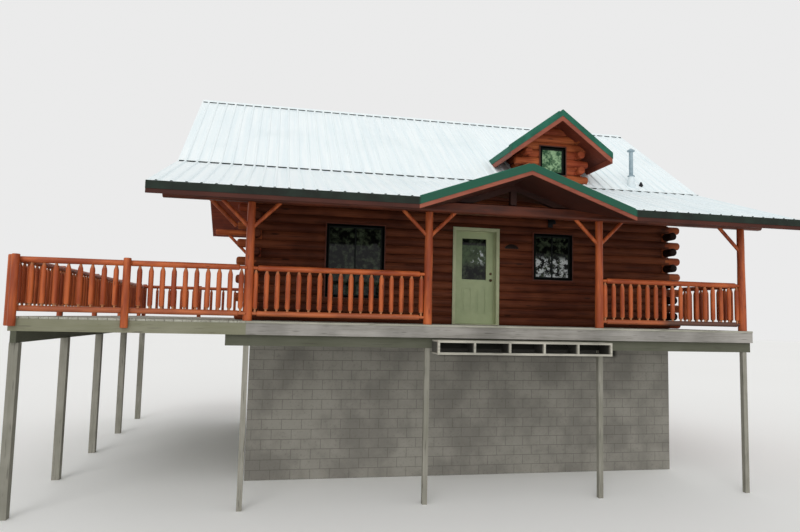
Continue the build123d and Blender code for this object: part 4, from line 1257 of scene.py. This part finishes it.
# %% Flue and lamp
BOOT = ((0.0, -0.1), (0.11, -0.1), (0.105, 0.02), (0.078, 0.06), (0.07, 0.228), (0.0, 0.228))
FLUE = (
    (0.0, 0.22), (0.072, 0.222), (0.088, 0.23), (0.084, 0.245), (0.05, 0.262), (0.048, 0.3),
    (0.048, 0.84), (0.09, 0.845), (0.092, 0.865), (0.03, 0.91), (0.0, 0.915),
)
for name, profile, material, nodes in (
    ("flue_pipe", FLUE, flue_grey, ("flue",)),
    ("flue_boot", BOOT, boot_white, ()),
):
    pipe = bmesh.new()
    turned(pipe, spot(8.77, 2.3, roof_z(2.3)), profile, 32)
    finish_piece(name, pipe, material, "flue_metal", *nodes)

DOME = (
    (0.0, 0.0), (0.03, -0.002), (0.056, -0.022), (0.078, -0.06),
    (0.086, -0.115), (0.084, -0.117), (0.05, -0.05), (0.0, -0.04),
)
lamp = bmesh.new()
turned(lamp, spot(6.5, 1.807, 2.41), DOME, 28)
pole(lamp, spot(6.5, 1.9, 2.38), spot(6.5, 1.8, 2.38), 0.011, sides=14, wave=0.0)
plate = section(RIGHT, UP, (6.445, 6.555), (2.222, 2.402))
bar(lamp, spot(0, 1.882, 0), spot(0, 1.9068, 0), plate, 0.004)
finish_piece("porch_lamp", lamp, black_iron, "dark_metal", "wall_lamp")

# %% [markdown]
# Between the door and the small window hangs a dark blank plaque with an arched top. Its
# outline is half an ellipse, worked out by a loop and carried 14 mm off the logs.

# %% Wall plaque
plaque = bmesh.new()
arch = [RIGHT * 0.16 * cos(pi * step / 12) + UP * 0.1 * sin(pi * step / 12) for step in range(13)]
bar(plaque, spot(5.58, 1.9068, 1.7), spot(5.58, 1.893, 1.7), arch, 0.003)
plaque_brown = painted("plaque_brown", (28, 17, 12), (40, 25, 18), (54, 38, 30))
finish_piece("wall_plaque", plaque, plaque_brown, "dark_metal")

# %% [markdown]
# The picture is taken from the lawn, a little right of the first porch post and at the level
# of the deck. Direction and lens were fitted to points of the photograph, such as the ends
# of the ridge and the feet of the posts, so the camera needs no shift.

# %% Camera
yaw, pitch, roll = radians(11.171), radians(4.796), radians(1.2946)
ahead = Vector((sin(yaw) * cos(pitch), cos(yaw) * cos(pitch), sin(pitch)))
level_right = Vector((cos(yaw), -sin(yaw), 0))
level_up = level_right.cross(ahead)
camera_right = level_right * cos(roll) + level_up * sin(roll)
camera_up = level_up * cos(roll) - level_right * sin(roll)
camera = added("camera", bpy.data.cameras.new("camera"))
camera.data.sensor_width = 36
camera.data.lens = 28.036
camera.data.clip_end = 200
camera.matrix_world = Matrix.Translation((-2.8015, -15.699, 3.302)) @ (
    Matrix((camera_right, camera_up, -ahead)).transposed().to_4x4()
)
bpy.context.scene.camera = camera
print("camera at", camera.location[:], "lens", camera.data.lens)

# %% [markdown]
# A plain studio: a pale floor that takes the shadow, a white world that lights from all
# round, a broad sun from the front left for shape and a low broad one that fills the porch.
# Rays from the camera, and those that metal or glass send on, see a brighter white.

# %% Floor and light
floor_finish = Finish("studio_floor", roughness=0.9)
floor_tone = floor_finish.cloud(0.05, 1.0)
floor_finish.tones(floor_tone, (247, 247, 245), (250, 250, 248))
floor_bm = bmesh.new()
bmesh.ops.create_circle(floor_bm, cap_ends=True, segments=64, radius=160)
floor_mesh = bpy.data.meshes.new("studio_floor")
floor_bm.to_mesh(floor_mesh)
floor_bm.free()
floor_mesh.materials.append(floor_finish.material)
floor = added("studio_floor", floor_mesh)

LIGHTING, BACKDROP = 0.72, 0.83
world = bpy.data.worlds.new("studio")
bpy.context.scene.world = world
world.use_nodes = True
sky = Nodes(world.node_tree)
at_camera = sky.node("ShaderNodeLightPath", {}, {}, "Is Camera Ray")
in_gloss = sky.node("ShaderNodeLightPath", {}, {}, "Is Glossy Ray")
seen = sky.node("ShaderNodeMath", {"operation": "MAXIMUM"}, {0: at_camera, 1: in_gloss})
background = sky.tree.nodes["Background"].inputs
sky.feed(background["Strength"], LIGHTING + seen * (BACKDROP - LIGHTING))
sky.feed(background["Color"], (1, 1, 1, 1))


def sun_lamp(name, energy, angle, direction):
    lamp = added(name, bpy.data.lights.new(name, "SUN"))
    lamp.data.energy = energy
    lamp.data.angle = radians(angle)
    lamp.rotation_euler = Vector(direction).to_track_quat("-Z", "Y").to_euler()


sun_lamp("sun", 0.45, 25, (0.45, 1.0, -1.0))
sun_lamp("front_fill", 0.85, 60, (0.12, 1.0, -0.12))
bpy.context.scene.view_settings.view_transform = "Standard"
print("world and two suns set")
